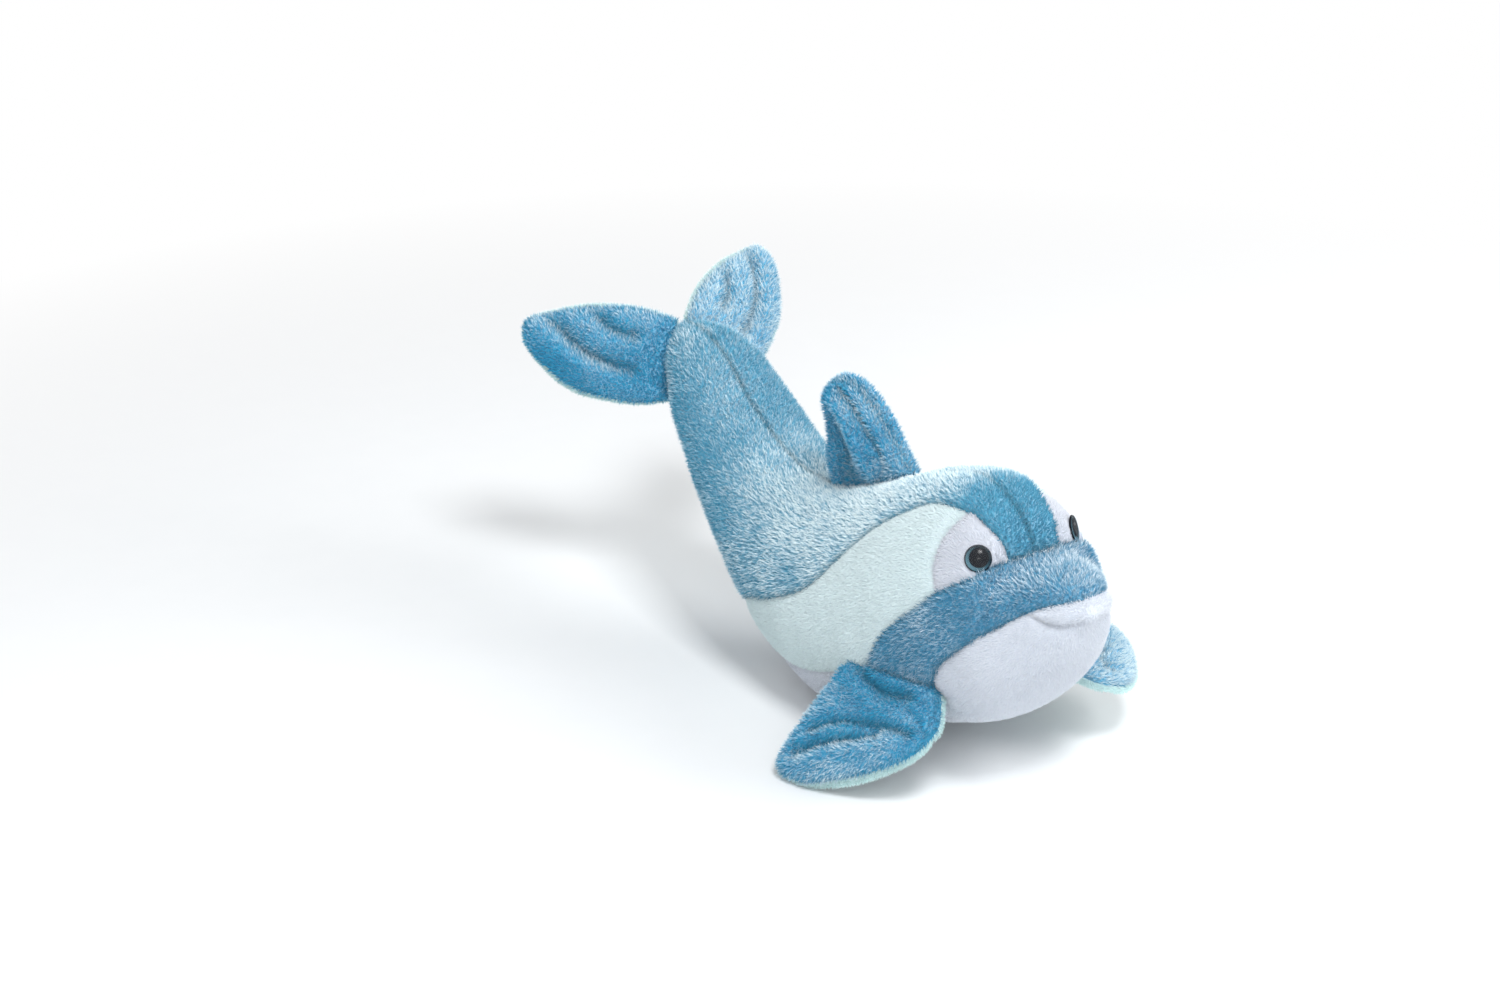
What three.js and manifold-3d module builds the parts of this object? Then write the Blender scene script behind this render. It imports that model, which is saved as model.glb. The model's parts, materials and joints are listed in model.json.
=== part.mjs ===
// Plush dolphin: sewn fabric panels over loose stuffing, with safety eyes and five stuffed fins.
// Millimetres, +Z up. The dolphin looks along -Y, its right side is -X, and it lies on the floor,
// z = 0, on the flat of its belly. The origin is the middle of that flat.
import * as THREE from 'three';
import { mergeVertices } from 'three/addons/utils/BufferGeometryUtils.js';
import Module from 'manifold-3d';

const wasm = await Module();
wasm.setup();

// Fabric and sewing
const bodyFabric = 3.0;
const finFabric = 2.0;
const seamGap = 0.3;
const rootGap = 0.9;
const finFloorGap = 1.0;

// Body: rings from the tip of the beak to the end of the tail. Each ring stands between a point on
// the back and a point on the belly, given as [y, z], and is twice halfWidth wide. roll turns the
// ring about the body's own line, because the tail lies rolled a little to the dolphin's right.
const bodyRings = [
  { at: 'beak tip', back: [-143, 100], belly: [-142, 94], halfWidth: 7, squareness: 2.0, roll: 0 },
  { at: 'lips', back: [-137, 107], belly: [-139, 86], halfWidth: 14, squareness: 2.2, roll: 0 },
  { at: 'beak', back: [-123, 111], belly: [-133, 72], halfWidth: 23, squareness: 2.2, roll: 0 },
  { at: 'beak root', back: [-107, 112], belly: [-123, 56], halfWidth: 33, squareness: 2.3, roll: 0 },
  { at: 'forehead', back: [-98, 125], belly: [-111, 42], halfWidth: 39, squareness: 2.2, roll: 0 },
  { at: 'crown', back: [-73, 137], belly: [-89, 27], halfWidth: 44.5, squareness: 2.1, roll: 0 },
  { at: 'neck', back: [-41, 129], belly: [-57, 14], halfWidth: 47, squareness: 2.1, roll: 0 },
  { at: 'chest', back: [-7, 113], belly: [-20, -1.8], halfWidth: 46, squareness: 2.1, roll: 0 },
  { at: 'belly', back: [27, 100], belly: [17, -2.2], halfWidth: 44, squareness: 2.1, roll: 2 },
  { at: 'hips', back: [57, 98], belly: [53, 13], halfWidth: 40, squareness: 2.1, roll: 6 },
  { at: 'tail root', back: [80, 106], belly: [81, 41], halfWidth: 36, squareness: 2.1, roll: 11 },
  { at: 'tail', back: [101, 119], belly: [111, 75], halfWidth: 31, squareness: 2.1, roll: 15 },
  { at: 'thin tail', back: [119, 134], belly: [135, 102], halfWidth: 25.5, squareness: 2.1, roll: 15 },
  { at: 'fluke roots', back: [136, 142], belly: [148, 123], halfWidth: 17, squareness: 2.1, roll: 14 },
  { at: 'tail end', back: [151, 143], belly: [155, 137], halfWidth: 4.5, squareness: 2.0, roll: 13.5 },
];
const bodyRingCount = 27;
const bodyPointsAround = 24;

// Seams on the body in the side view, as [y, z]; both sides are sewn alike
const beakJunction = [-105, 112.5];
const patchTop = [-83, 129.5];
const patchRear = [-86, 97.5];
const finSeamRear = [-41, 43];
const finSeamFront = [-82, 43];
const mouthCorner = [-125, 97.6];
const underTail = [73, 27];
const seamLines = {
  backSeam: [patchTop, [-73, 130], [-60, 127], [-41, 114], [-23, 97], [2, 69], [31, 52], [55, 42], underTail],
  patchRearSeam: [patchTop, [-80, 120], [-81, 108], patchRear],
  patchLowSeam: [beakJunction, [-98, 106], patchRear],
  bandRearSeam: [patchRear, [-77, 88], [-64, 76], [-53, 63], finSeamRear],
  finSeam: [finSeamRear, finSeamFront],
  bandFrontSeam: [finSeamFront, [-83, 52], [-90, 64], [-105, 79], [-118, 91], mouthCorner],
  lipSeam: [mouthCorner, [-134, 102.5], [-143, 105]],
  mouthLine: [mouthCorner, [-131, 94.6], [-137, 92.7], [-140.5, 92.3], [-142.2, 95.1], [-143, 98.5]],
  bellySeam: [finSeamRear, [-20, 34], [5, 24], [40, 18], underTail],
};
// Front edge of each eye patch in the front view, as [distance from the centre seam, z]
const patchFrontSeam = [[15, 106], [14.5, 112], [14.5, 117], [16.5, 123], [20, 131], [22, 136]];
const seamStep = 8;
// Cuts between the lumps of stuffing, as [y, z] on the back and on the belly
const neckCut = [[-39, 145], [-59, -10]];
const hipCut = [[59, 120], [53, -10]];

// Safety eyes. The eye's place is [y, z] in the side view, and it sits in the skin there.
const eyePlace = [-99.2, 114.5];
const eyeFacing = [0.6, -0.74, 0.3];
const eyeSink = 2.4;
const eyeDiameter = 12;
const eyeDomeHeight = 4.4;
const eyeRimHeight = 0.5;
const eyeDiscThickness = 0.9;
const stemDiameter = 4;
const stemLength = 13;
const stemPoint = 1.5;
const stemPointDiameter = 2.4;
const stemPlainTop = 3;
const stemRidges = 4;
const stemRidgeHeight = 0.35;
const stemClearance = 0.4;
const washerDiameter = 14;
const washerThickness = 1.4;
const washerSlack = 1.5;

// Pectoral fins. The root's ends are [y, z] in the side view, on the skin. The outline is drawn as
// [along the root towards the tail, away from the root].
const pectoral = {
  rootFront: [-86, 46],
  rootRear: [-30, 42],
  rootStandOff: 1,
  rootSteps: 5,
  thickness: 17,
  curl: 3,
  outline: [[0, 0], [-4, 7], [-6, 15], [0, 28], [14, 39], [31, 48], [48, 54.5], [61, 54.5], [67, 49],
    [65, 36], [61, 18], [57, 0]],
};
// The photographed pose: how far each fin hangs down, how far its tip is drawn towards the head for
// each millimetre out, and how far its front edge dips below its rear edge
const pectoralPoses = {
  right: { droop: 44, forward: 0, dip: 0 },
  left: { droop: 14, forward: 0.37, dip: 14 },
};
// Tail flukes, on the last ring of the tail. The outline is drawn as [away from the tail's centre
// line, along the tail], in a plane that climbs by slope and is swept back on each side.
const fluke = {
  slope: 50.6,
  sweepBack: 25,
  behindTail: 2.8,
  thickness: 16,
  curl: 3,
  outline: [[21, -34], [36, -28.5], [50, -19], [62, -8], [70, 6], [74.5, 19], [73, 27], [68, 30.5],
    [52, 27], [36, 22], [18, 13], [3, 0.5]],
};
// Dorsal fin on the back between two values of y. The outline is drawn as [towards the tail, up]
// from the front of its root.
const dorsal = {
  rootFront: -20,
  rootRear: 39,
  rootSteps: 6,
  thickness: 20,
  outline: [[0, 0], [9, 7.5], [20, 17.5], [31, 24.5], [42, 28.5], [52, 28], [60, 23], [62, 16],
    [59.5, 7], [57.5, -3], [57.5, -13]],
};
const finRings = 4;
const finEdgeShare = 0.09;
const finPointsPerKnot = 1.5;
const thinnestStuffing = 0.8;

const fabricColours = {
  backBlue: 0x8fb4d0, bandBlue: 0x5c88ac, finBlue: 0x4a86b0, mint: 0xcfe3e4, white: 0xe9e9f0,
  stuffing: 0xf4f4f2,
};
const fabric = (colour) => new THREE.MeshStandardMaterial({ color: colour, roughness: 0.95, metalness: 0 });
const glossyPlastic = new THREE.MeshStandardMaterial({ color: 0x0a0c10, roughness: 0.08, metalness: 0 });
const clearPlastic = new THREE.MeshStandardMaterial({ color: 0x3c6a74, roughness: 0.03, metalness: 0 });
const washerPlastic = new THREE.MeshStandardMaterial({ color: 0xe8e6de, roughness: 0.5, metalness: 0 });
const stuffing = fabric(fabricColours.stuffing);

const dolphin = new THREE.Group();

// Turns a closed geometry into a solid that can be cut
function solidFrom(geometry) {
  const bare = geometry.clone();
  bare.deleteAttribute('normal');
  bare.deleteAttribute('uv');
  const merged = mergeVertices(bare, 1e-4);
  return new wasm.Manifold(new wasm.Mesh({
    numProp: 3,
    vertProperties: new Float32Array(merged.attributes.position.array),
    triVerts: new Uint32Array(merged.index.array),
  }));
}

// Adds a solid to the model as a named mesh
function addPart(name, solid, material) {
  const cut = solid.getMesh();
  const geometry = new THREE.BufferGeometry();
  geometry.setAttribute('position', new THREE.BufferAttribute(new Float32Array(cut.vertProperties), 3));
  geometry.setIndex(new THREE.BufferAttribute(new Uint32Array(cut.triVerts), 1));
  geometry.computeVertexNormals();
  const mesh = new THREE.Mesh(geometry, material);
  mesh.name = name;
  dolphin.add(mesh);
}

// Mirrors a solid from one side of the dolphin to the other
const mirrored = (solid) => solid.mirror([1, 0, 0]);

function centreOf(points) {
  const sum = points.reduce((total, point) => total.add(point), new THREE.Vector3());
  return sum.divideScalar(points.length);
}

// Closed solid from rings of points that all run the same way round, with a fan at both ends
function solidFromRings(rings) {
  const around = rings[0].length;
  const points = rings.flat();
  const first = points.length;
  const last = (rings.length - 1) * around;
  points.push(centreOf(rings[0]), centreOf(rings[rings.length - 1]));
  const faces = [];
  for (let ring = 0; ring < rings.length - 1; ring += 1) {
    for (let step = 0; step < around; step += 1) {
      const a = ring * around + step;
      const b = ring * around + (step + 1) % around;
      faces.push([a, b, b + around], [a, b + around, a + around]);
    }
  }
  for (let step = 0; step < around; step += 1) {
    const next = (step + 1) % around;
    faces.push([first, next, step], [first + 1, last + step, last + next]);
  }
  // On one side of the dolphin the rings run the other way round, and each face is turned over
  const volume = faces.reduce((sum, [a, b, c]) => (
    sum + points[a].dot(new THREE.Vector3().crossVectors(points[b], points[c]))), 0);
  const outwards = volume < 0 ? faces.map(([a, b, c]) => [a, c, b]) : faces;
  const geometry = new THREE.BufferGeometry().setFromPoints(points);
  geometry.setIndex(outwards.flat());
  return solidFrom(geometry);
}

// Body surface: smooth curves run through the rings' back points, belly points and widths
const curveThrough = (values) => new THREE.CatmullRomCurve3(values.map((v) => new THREE.Vector3(...v)));
const backCurve = curveThrough(bodyRings.map((ring) => [0, ...ring.back]));
const bellyCurve = curveThrough(bodyRings.map((ring) => [0, ...ring.belly]));
const shapeCurve = curveThrough(bodyRings.map((ring) => [ring.halfWidth, ring.squareness * 10, ring.roll]));

function bodyRing(t) {
  const back = backCurve.getPoint(t);
  const belly = bellyCurve.getPoint(t);
  const { x: halfWidth, y: squareness, z: roll } = shapeCurve.getPoint(t);
  const centre = back.clone().add(belly).multiplyScalar(0.5);
  const rise = back.clone().sub(belly).multiplyScalar(0.5);
  const up = rise.clone().normalize();
  const turn = THREE.MathUtils.degToRad(roll);
  const across = new THREE.Vector3(Math.cos(turn), 0, 0).addScaledVector(up, Math.sin(turn));
  const upright = up.multiplyScalar(Math.cos(turn)).add(new THREE.Vector3(-Math.sin(turn), 0, 0));
  const power = 20 / squareness;
  const ring = [];
  for (let step = 0; step < bodyPointsAround; step += 1) {
    const angle = (2 * Math.PI * step) / bodyPointsAround;
    const sideways = Math.sign(Math.sin(angle)) * Math.abs(Math.sin(angle)) ** power;
    const upwards = Math.sign(Math.cos(angle)) * Math.abs(Math.cos(angle)) ** power;
    ring.push(centre.clone()
      .addScaledVector(across, halfWidth * sideways)
      .addScaledVector(upright, rise.length() * upwards));
  }
  return ring;
}

// Moves every ring point inwards by a depth, square to the surface
function insetRings(rings, depth) {
  return rings.map((ring, row) => ring.map((point, step) => {
    const before = rings[Math.max(row - 1, 0)][step];
    const after = rings[Math.min(row + 1, rings.length - 1)][step];
    const left = ring[(step + ring.length - 1) % ring.length];
    const right = ring[(step + 1) % ring.length];
    const along = after.clone().sub(before);
    const around = right.clone().sub(left);
    const inwards = along.cross(around).normalize();
    return point.clone().addScaledVector(inwards, depth);
  }));
}

const outerRings = [];
for (let row = 0; row <= bodyRingCount; row += 1) outerRings.push(bodyRing(row / bodyRingCount));

// How far the skin lies from the centre plane at a point of the side view
function skinWidth(y, z) {
  const at = new THREE.Vector3(0, y, z);
  const flat = (point) => new THREE.Vector3(0, point.y, point.z);
  let width = 0;
  for (let row = 0; row < bodyRingCount; row += 1) {
    for (let step = 0; step < bodyPointsAround; step += 1) {
      const next = (step + 1) % bodyPointsAround;
      const corners = [
        outerRings[row][step], outerRings[row][next], outerRings[row + 1][next], outerRings[row + 1][step]];
      for (const [a, b, c] of [[0, 1, 2], [0, 2, 3]]) {
        const face = new THREE.Triangle(flat(corners[a]), flat(corners[b]), flat(corners[c]));
        const share = face.getBarycoord(at, new THREE.Vector3());
        if (share === null || Math.min(share.x, share.y, share.z) < 0) continue;
        width = Math.max(
          width, share.x * corners[a].x + share.y * corners[b].x + share.z * corners[c].x);
      }
    }
  }
  return width;
}

// Height of the back's profile at a value of y
function backHeight(y) {
  const profile = backCurve.getPoints(20 * bodyRings.length);
  const beyond = profile.findIndex((point) => point.y > y);
  const [before, after] = [profile[beyond - 1], profile[beyond]];
  return THREE.MathUtils.mapLinear(y, before.y, after.y, before.z, after.z);
}

// A block that fills an outline drawn in the side view, from x = from to x = to
function sideBlock(outline, from, to) {
  const shape = new THREE.Shape(outline.map(([y, z]) => new THREE.Vector2(y, z)));
  const block = new THREE.ExtrudeGeometry(shape, { depth: to - from, bevelEnabled: false });
  const sideways = new THREE.Matrix4().makeBasis(
    new THREE.Vector3(0, 1, 0), new THREE.Vector3(0, 0, 1), new THREE.Vector3(1, 0, 0));
  block.applyMatrix4(sideways);
  block.translate(from, 0, 0);
  return solidFrom(block);
}

// A block that fills an outline drawn in the front view as [x, z], from y = from to y = to
function frontBlock(outline, from, to) {
  const shape = new THREE.Shape(outline.map(([x, z]) => new THREE.Vector2(x, z)));
  const block = new THREE.ExtrudeGeometry(shape, { depth: to - from, bevelEnabled: false });
  block.rotateX(Math.PI / 2);
  block.translate(0, to, 0);
  return solidFrom(block);
}

// Outline of a thin strip, one seam gap wide, that follows a line
function stripOutline(line, width = seamGap) {
  const left = [];
  const right = [];
  line.forEach(([u, v], index) => {
    const [beforeU, beforeV] = line[Math.max(index - 1, 0)];
    const [afterU, afterV] = line[Math.min(index + 1, line.length - 1)];
    const length = Math.hypot(afterU - beforeU, afterV - beforeV);
    const sideU = (-(afterV - beforeV) / length) * (width / 2);
    const sideV = ((afterU - beforeU) / length) * (width / 2);
    left.push([u + sideU, v + sideV]);
    right.unshift([u - sideU, v - sideV]);
  });
  return [...left, ...right];
}

// Seams as smooth lines of short steps
function smoothSeam(points) {
  if (points.length < 3) return points;
  const curve = new THREE.SplineCurve(points.map(([u, v]) => new THREE.Vector2(u, v)));
  const steps = Math.max(points.length, Math.round(curve.getLength() / seamStep));
  return curve.getPoints(steps).map((point) => [point.x, point.y]);
}
const seams = Object.fromEntries(
  Object.entries(seamLines).map(([name, points]) => [name, smoothSeam(points)]));
const reversed = (line) => [...line].reverse();

// Corners well outside the body, where outlines close
const reach = 260;
const aboveBeak = [beakJunction[0] - 30, beakJunction[1] + 30];
const aheadOfLip = [-reach, seamLines.lipSeam.at(-1)[1] + 2];
const aheadOfMouth = [-reach, seamLines.mouthLine.at(-1)[1] + 0.5];
const belowTail = [underTail[0] + 24, underTail[1] - 40];

const regions = {
  back: [aboveBeak, ...seams.patchLowSeam, ...reversed(seams.patchRearSeam).slice(1),
    ...seams.backSeam.slice(1), belowTail, [reach, belowTail[1]], [reach, reach], [aboveBeak[0], reach]],
  patch: [aboveBeak, ...seams.patchLowSeam, ...reversed(seams.patchRearSeam).slice(1),
    [patchTop[0], reach], [aboveBeak[0], reach]],
  band: [aheadOfLip, ...reversed(seams.lipSeam), ...reversed(seams.bandFrontSeam).slice(1),
    ...reversed(seams.finSeam).slice(1), ...reversed(seams.bandRearSeam).slice(1),
    ...reversed(seams.patchLowSeam).slice(1), aboveBeak, [-reach, aboveBeak[1]]],
  lip: [aheadOfLip, ...reversed(seams.lipSeam), ...seams.mouthLine.slice(1), aheadOfMouth],
  flank: [...seams.backSeam, ...reversed(seams.bellySeam).slice(1), ...reversed(seams.bandRearSeam).slice(1),
    ...reversed(seams.patchRearSeam).slice(1, -1)],
  belly: [aheadOfMouth, ...reversed(seams.mouthLine), ...reversed(seams.bandFrontSeam).slice(1),
    ...reversed(seams.finSeam).slice(1), ...seams.bellySeam.slice(1), belowTail,
    [belowTail[0], -reach], [-reach, -reach]],
};

// The sewn skin: a shell one fabric thick, flat where it rests, and cut open along every seam
const below = (height) => sideBlock(
  [[-reach, -reach], [reach, -reach], [reach, height], [-reach, height]], -reach, reach);
const floorBlock = below(0);
const outerBody = solidFromRings(outerRings).subtract(floorBlock);
const innerBody = solidFromRings(insetRings(outerRings, bodyFabric)).subtract(below(bodyFabric));
let skin = outerBody.subtract(innerBody);
const openSeams = {
  ...seams,
  patchLowSeam: [aboveBeak, ...seams.patchLowSeam],
  lipSeam: [...seams.lipSeam, aheadOfLip],
  mouthLine: [...seams.mouthLine, aheadOfMouth],
  backSeam: [...seams.backSeam, belowTail],
};
for (const line of Object.values(openSeams)) {
  skin = skin.subtract(sideBlock(stripOutline(line), -reach, reach));
}

// Each eye patch also ends at its front seam, which only the front view shows
const patchDepth = [-reach, patchTop[0] + 6];
const frontEdge = smoothSeam(patchFrontSeam);
const rightFrontEdge = frontEdge.map(([x, z]) => [-x, z]);
const patchFront = frontBlock(
  [...rightFrontEdge, [-reach, frontEdge.at(-1)[1]], [-reach, frontEdge[0][1] - 20],
    [-frontEdge[0][0], frontEdge[0][1] - 20]], ...patchDepth);
const patchStrip = frontBlock(stripOutline(rightFrontEdge), ...patchDepth);
const patchSide = sideBlock(regions.patch, -reach, 0);
const patchBlock = patchSide.intersect(patchFront);
const patchCut = patchSide.intersect(patchStrip);

// Safety eyes, made once about +Z and then turned to face the way the right eye looks
function turned(profile, segments = 20) {
  const points = profile.map(([radius, height]) => new THREE.Vector2(radius, height));
  const geometry = new THREE.LatheGeometry(points, segments);
  geometry.rotateX(Math.PI / 2);
  return geometry;
}
const facing = new THREE.Vector3(-eyeFacing[0], eyeFacing[1], eyeFacing[2]).normalize();
const eyeSeat = new THREE.Vector3(-skinWidth(...eyePlace), ...eyePlace).addScaledVector(facing, -eyeSink);
const eyeTurn = new THREE.Quaternion().setFromUnitVectors(new THREE.Vector3(0, 0, 1), facing);
const eyeMatrix = new THREE.Matrix4().compose(eyeSeat, eyeTurn, new THREE.Vector3(1, 1, 1));
const placedEye = (profile, segments) => solidFrom(turned(profile, segments).applyMatrix4(eyeMatrix));

function domeProfile() {
  const radius = eyeDiameter / 2;
  const foot = eyeDiscThickness + seamGap;
  const profile = [[0, foot], [radius, foot]];
  const steps = 6;
  for (let step = 0; step <= steps; step += 1) {
    const angle = (Math.PI / 2) * (step / steps);
    const across = step === steps ? 0 : radius * Math.cos(angle);
    profile.push([across, foot + eyeRimHeight + (eyeDomeHeight - eyeRimHeight) * Math.sin(angle)]);
  }
  return profile;
}

function shankProfile() {
  const stem = stemDiameter / 2;
  const profile = [[0, -stemLength], [stemPointDiameter / 2, -stemLength], [stem, -stemLength + stemPoint]];
  const ridgesFrom = -stemLength + stemPoint + stemRidgeHeight;
  const pitch = (-stemPlainTop - ridgesFrom) / stemRidges;
  for (let ridge = 0; ridge < stemRidges; ridge += 1) {
    const start = ridgesFrom + ridge * pitch;
    profile.push([stem, start], [stem + stemRidgeHeight, start + pitch * 0.5], [stem, start + pitch * 0.75]);
  }
  profile.push([stem, 0], [eyeDiameter / 2, 0], [eyeDiameter / 2, eyeDiscThickness], [0, eyeDiscThickness]);
  return profile;
}

// The washer grips the stem behind the fabric, with a little slack
const washerTop = -(bodyFabric - eyeSink) - seamGap - washerSlack;
const washerFoot = washerTop - washerThickness;
const washerBore = stemDiameter / 2 + stemRidgeHeight + seamGap;
const washerProfile = [
  [washerBore, washerFoot], [washerDiameter / 2, washerFoot],
  [washerDiameter / 2, washerTop], [washerBore, washerTop], [washerBore, washerFoot],
];
const lens = placedEye(domeProfile(), 20);
const shank = placedEye(shankProfile(), 12);
const washer = placedEye(washerProfile, 16);
const holeRadius = stemDiameter / 2 + stemRidgeHeight + stemClearance;
const holeFoot = -stemLength - stemClearance;
const stemHole = placedEye([[0, holeFoot], [holeRadius, holeFoot], [holeRadius, 1], [0, 1]], 16);
const seatRadius = eyeDiameter / 2 + seamGap;
const seatTop = 3 * eyeDomeHeight;
const eyeSocket = placedEye([[0, -seamGap], [seatRadius, -seamGap], [seatRadius, seatTop], [0, seatTop]], 24);
const washerRoom = washerDiameter / 2 + seamGap;
const washerSpace = placedEye([
  [0, washerFoot - seamGap], [washerRoom, washerFoot - seamGap], [washerRoom, seatTop], [0, seatTop]], 16);
const washerPrint = placedEye([
  [0, washerFoot - seamGap], [washerRoom, washerFoot - seamGap], [washerRoom, washerTop + seamGap],
  [0, washerTop + seamGap]], 16);
const eyeOpening = stemHole.add(eyeSocket).add(washerPrint);
skin = skin.subtract(eyeOpening).subtract(mirrored(eyeOpening));

// Panels of the body
const rightHalf = (outline) => sideBlock(outline, -reach, -seamGap / 2);
const leftHalf = (outline) => sideBlock(outline, seamGap / 2, reach);
const whole = (outline) => sideBlock(outline, -reach, reach);
const rightPatch = skin.intersect(patchBlock).subtract(patchCut);
const patchRoom = patchBlock.add(patchCut);
addPart('back_panel_right',
  skin.intersect(rightHalf(regions.back)).subtract(patchRoom), fabric(fabricColours.backBlue));
addPart('back_panel_left',
  skin.intersect(leftHalf(regions.back)).subtract(mirrored(patchRoom)), fabric(fabricColours.backBlue));
addPart('flank_panel_right', skin.intersect(rightHalf(regions.flank)), fabric(fabricColours.mint));
addPart('flank_panel_left', skin.intersect(leftHalf(regions.flank)), fabric(fabricColours.mint));
addPart('eye_patch_right', rightPatch, fabric(fabricColours.white));
addPart('eye_patch_left', mirrored(rightPatch), fabric(fabricColours.white));
addPart('snout_band', skin.intersect(whole(regions.band)), fabric(fabricColours.bandBlue));
addPart('lip_panel', skin.intersect(whole(regions.lip)), fabric(fabricColours.white));
addPart('belly_panel', skin.intersect(whole(regions.belly)), fabric(fabricColours.white));

// Stuffing, in three lumps that meet at the neck and at the hips. It stops short of the beak's tip.
const stuffed = solidFromRings(insetRings(outerRings, bodyFabric + seamGap).slice(2))
  .subtract(below(bodyFabric + seamGap));
const eyeSpace = stemHole.add(washerSpace);
const headBlock = whole([neckCut[0], neckCut[1], [-reach, neckCut[1][1]], [-reach, neckCut[0][1]]]);
const tailBlock = whole([hipCut[0], hipCut[1], [reach, hipCut[1][1]], [reach, reach], [hipCut[0][0], reach]]);
const neckStrip = whole(stripOutline(neckCut));
const hipStrip = whole(stripOutline(hipCut));
addPart('head_stuffing',
  stuffed.intersect(headBlock).subtract(neckStrip).subtract(eyeSpace).subtract(mirrored(eyeSpace)), stuffing);
addPart('torso_stuffing',
  stuffed.subtract(headBlock).subtract(tailBlock).subtract(neckStrip).subtract(hipStrip), stuffing);
addPart('tail_stuffing', stuffed.intersect(tailBlock).subtract(hipStrip), stuffing);

for (const [side, placed] of Object.entries({ right: (solid) => solid, left: mirrored })) {
  addPart(`eye_lens_${side}`, placed(lens), clearPlastic);
  addPart(`eye_shank_${side}`, placed(shank), glossyPlastic);
  addPart(`eye_washer_${side}`, placed(washer), washerPlastic);
}

// A fin is a flat sewn pocket. Its outline is drawn in its own plane and swells to its thickness in
// the middle; rings shrink from the outline towards its centre. place() puts a point of the flat
// fin, with its height above the middle plane, into the dolphin.
function swell(ring, thickness) {
  const edge = thickness * finEdgeShare;
  return edge + (thickness / 2 - edge) * (1 - ring ** 2) ** 0.8;
}

function finOutline(points) {
  const curve = new THREE.SplineCurve(points.map(([u, v]) => new THREE.Vector2(u, v)));
  return curve.getPoints(Math.round(points.length * finPointsPerKnot));
}

function finSolids(outline, thickness, place) {
  const sum = outline.reduce((total, point) => total.add(point), new THREE.Vector2());
  const middle = sum.divideScalar(outline.length);
  const layer = (ring, height) => outline.map((point) => {
    const flat = middle.clone().lerp(point, ring);
    return place(flat.x, flat.y, height);
  });
  const scales = [];
  for (let step = 0; step < finRings; step += 1) scales.push(Math.cos((Math.PI / 2) * (step / finRings)));
  const pocket = (side) => {
    const outer = scales.map((ring) => layer(ring, side * swell(ring, thickness)));
    const inner = scales.map((ring) => layer(
      ring, side * Math.max(seamGap / 2, swell(ring, thickness) - finFabric)));
    return solidFromRings([...outer.reverse(), ...inner]);
  };
  const depth = (ring) => swell(ring, thickness) - finFabric - seamGap;
  const filled = scales.filter((ring) => depth(ring) > thinnestStuffing);
  const fillRings = [
    ...reversed(filled).map((ring) => layer(ring, depth(ring))),
    ...filled.map((ring) => layer(ring, -depth(ring))),
  ];
  return { upper: pocket(1), lower: pocket(-1), fill: solidFromRings(fillRings) };
}

// Fins keep a gap to the body all round their roots, so that they can hinge there, and one to the
// floor, so that the dolphin rests on its belly
const bodyKeepOut = solidFromRings(insetRings(outerRings, -rootGap));
const underFins = below(finFloorGap);
function addFin(name, solids, upperName, lowerName, upperColour, lowerColour) {
  const cut = (solid) => solid.subtract(bodyKeepOut).subtract(underFins);
  addPart(`${name}_${upperName}`, cut(solids.upper), fabric(upperColour));
  addPart(`${name}_${lowerName}`, cut(solids.lower), fabric(lowerColour));
  addPart(`${name}_stuffing`, cut(solids.fill), stuffing);
}

// Pectoral fins: u runs along the root towards the tail, v away from the body
const pectoralReach = Math.max(...pectoral.outline.map(([, v]) => v));
function pectoralPlacer(side, pose) {
  const onSkin = (end) => new THREE.Vector3(side * (skinWidth(...end) + pectoral.rootStandOff), ...end);
  const front = onSkin(pectoral.rootFront);
  const rear = onSkin(pectoral.rootRear);
  const middle = front.clone().add(rear).multiplyScalar(0.5);
  const length = front.distanceTo(rear);
  const along = rear.clone().sub(front).normalize();
  along.applyAxisAngle(new THREE.Vector3(1, 0, 0), THREE.MathUtils.degToRad(pose.dip));
  const droop = THREE.MathUtils.degToRad(pose.droop);
  const outwards = new THREE.Vector3(side * Math.cos(droop), 0, -Math.sin(droop));
  outwards.addScaledVector(along, -outwards.dot(along)).normalize();
  const face = new THREE.Vector3().crossVectors(outwards, along).multiplyScalar(side).normalize();
  return (u, v, height) => middle.clone()
    .addScaledVector(along, u - length / 2 - pose.forward * v)
    .addScaledVector(outwards, v)
    .addScaledVector(face, height - pectoral.curl * (v / pectoralReach) ** 2);
}

// The root's edge follows the skin, which bulges between the root's ends
function pectoralRoot() {
  const rootLength = pectoral.outline.at(-1)[0];
  const [frontWidth, rearWidth] = [skinWidth(...pectoral.rootFront), skinWidth(...pectoral.rootRear)];
  const edge = [];
  for (let step = 1; step < pectoral.rootSteps; step += 1) {
    const share = 1 - step / pectoral.rootSteps;
    const [y, z] = [0, 1].map((axis) => (
      THREE.MathUtils.lerp(pectoral.rootFront[axis], pectoral.rootRear[axis], share)));
    const bulge = skinWidth(y, z) - THREE.MathUtils.lerp(frontWidth, rearWidth, share);
    edge.push(new THREE.Vector2(rootLength * share, bulge));
  }
  return edge;
}

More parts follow.
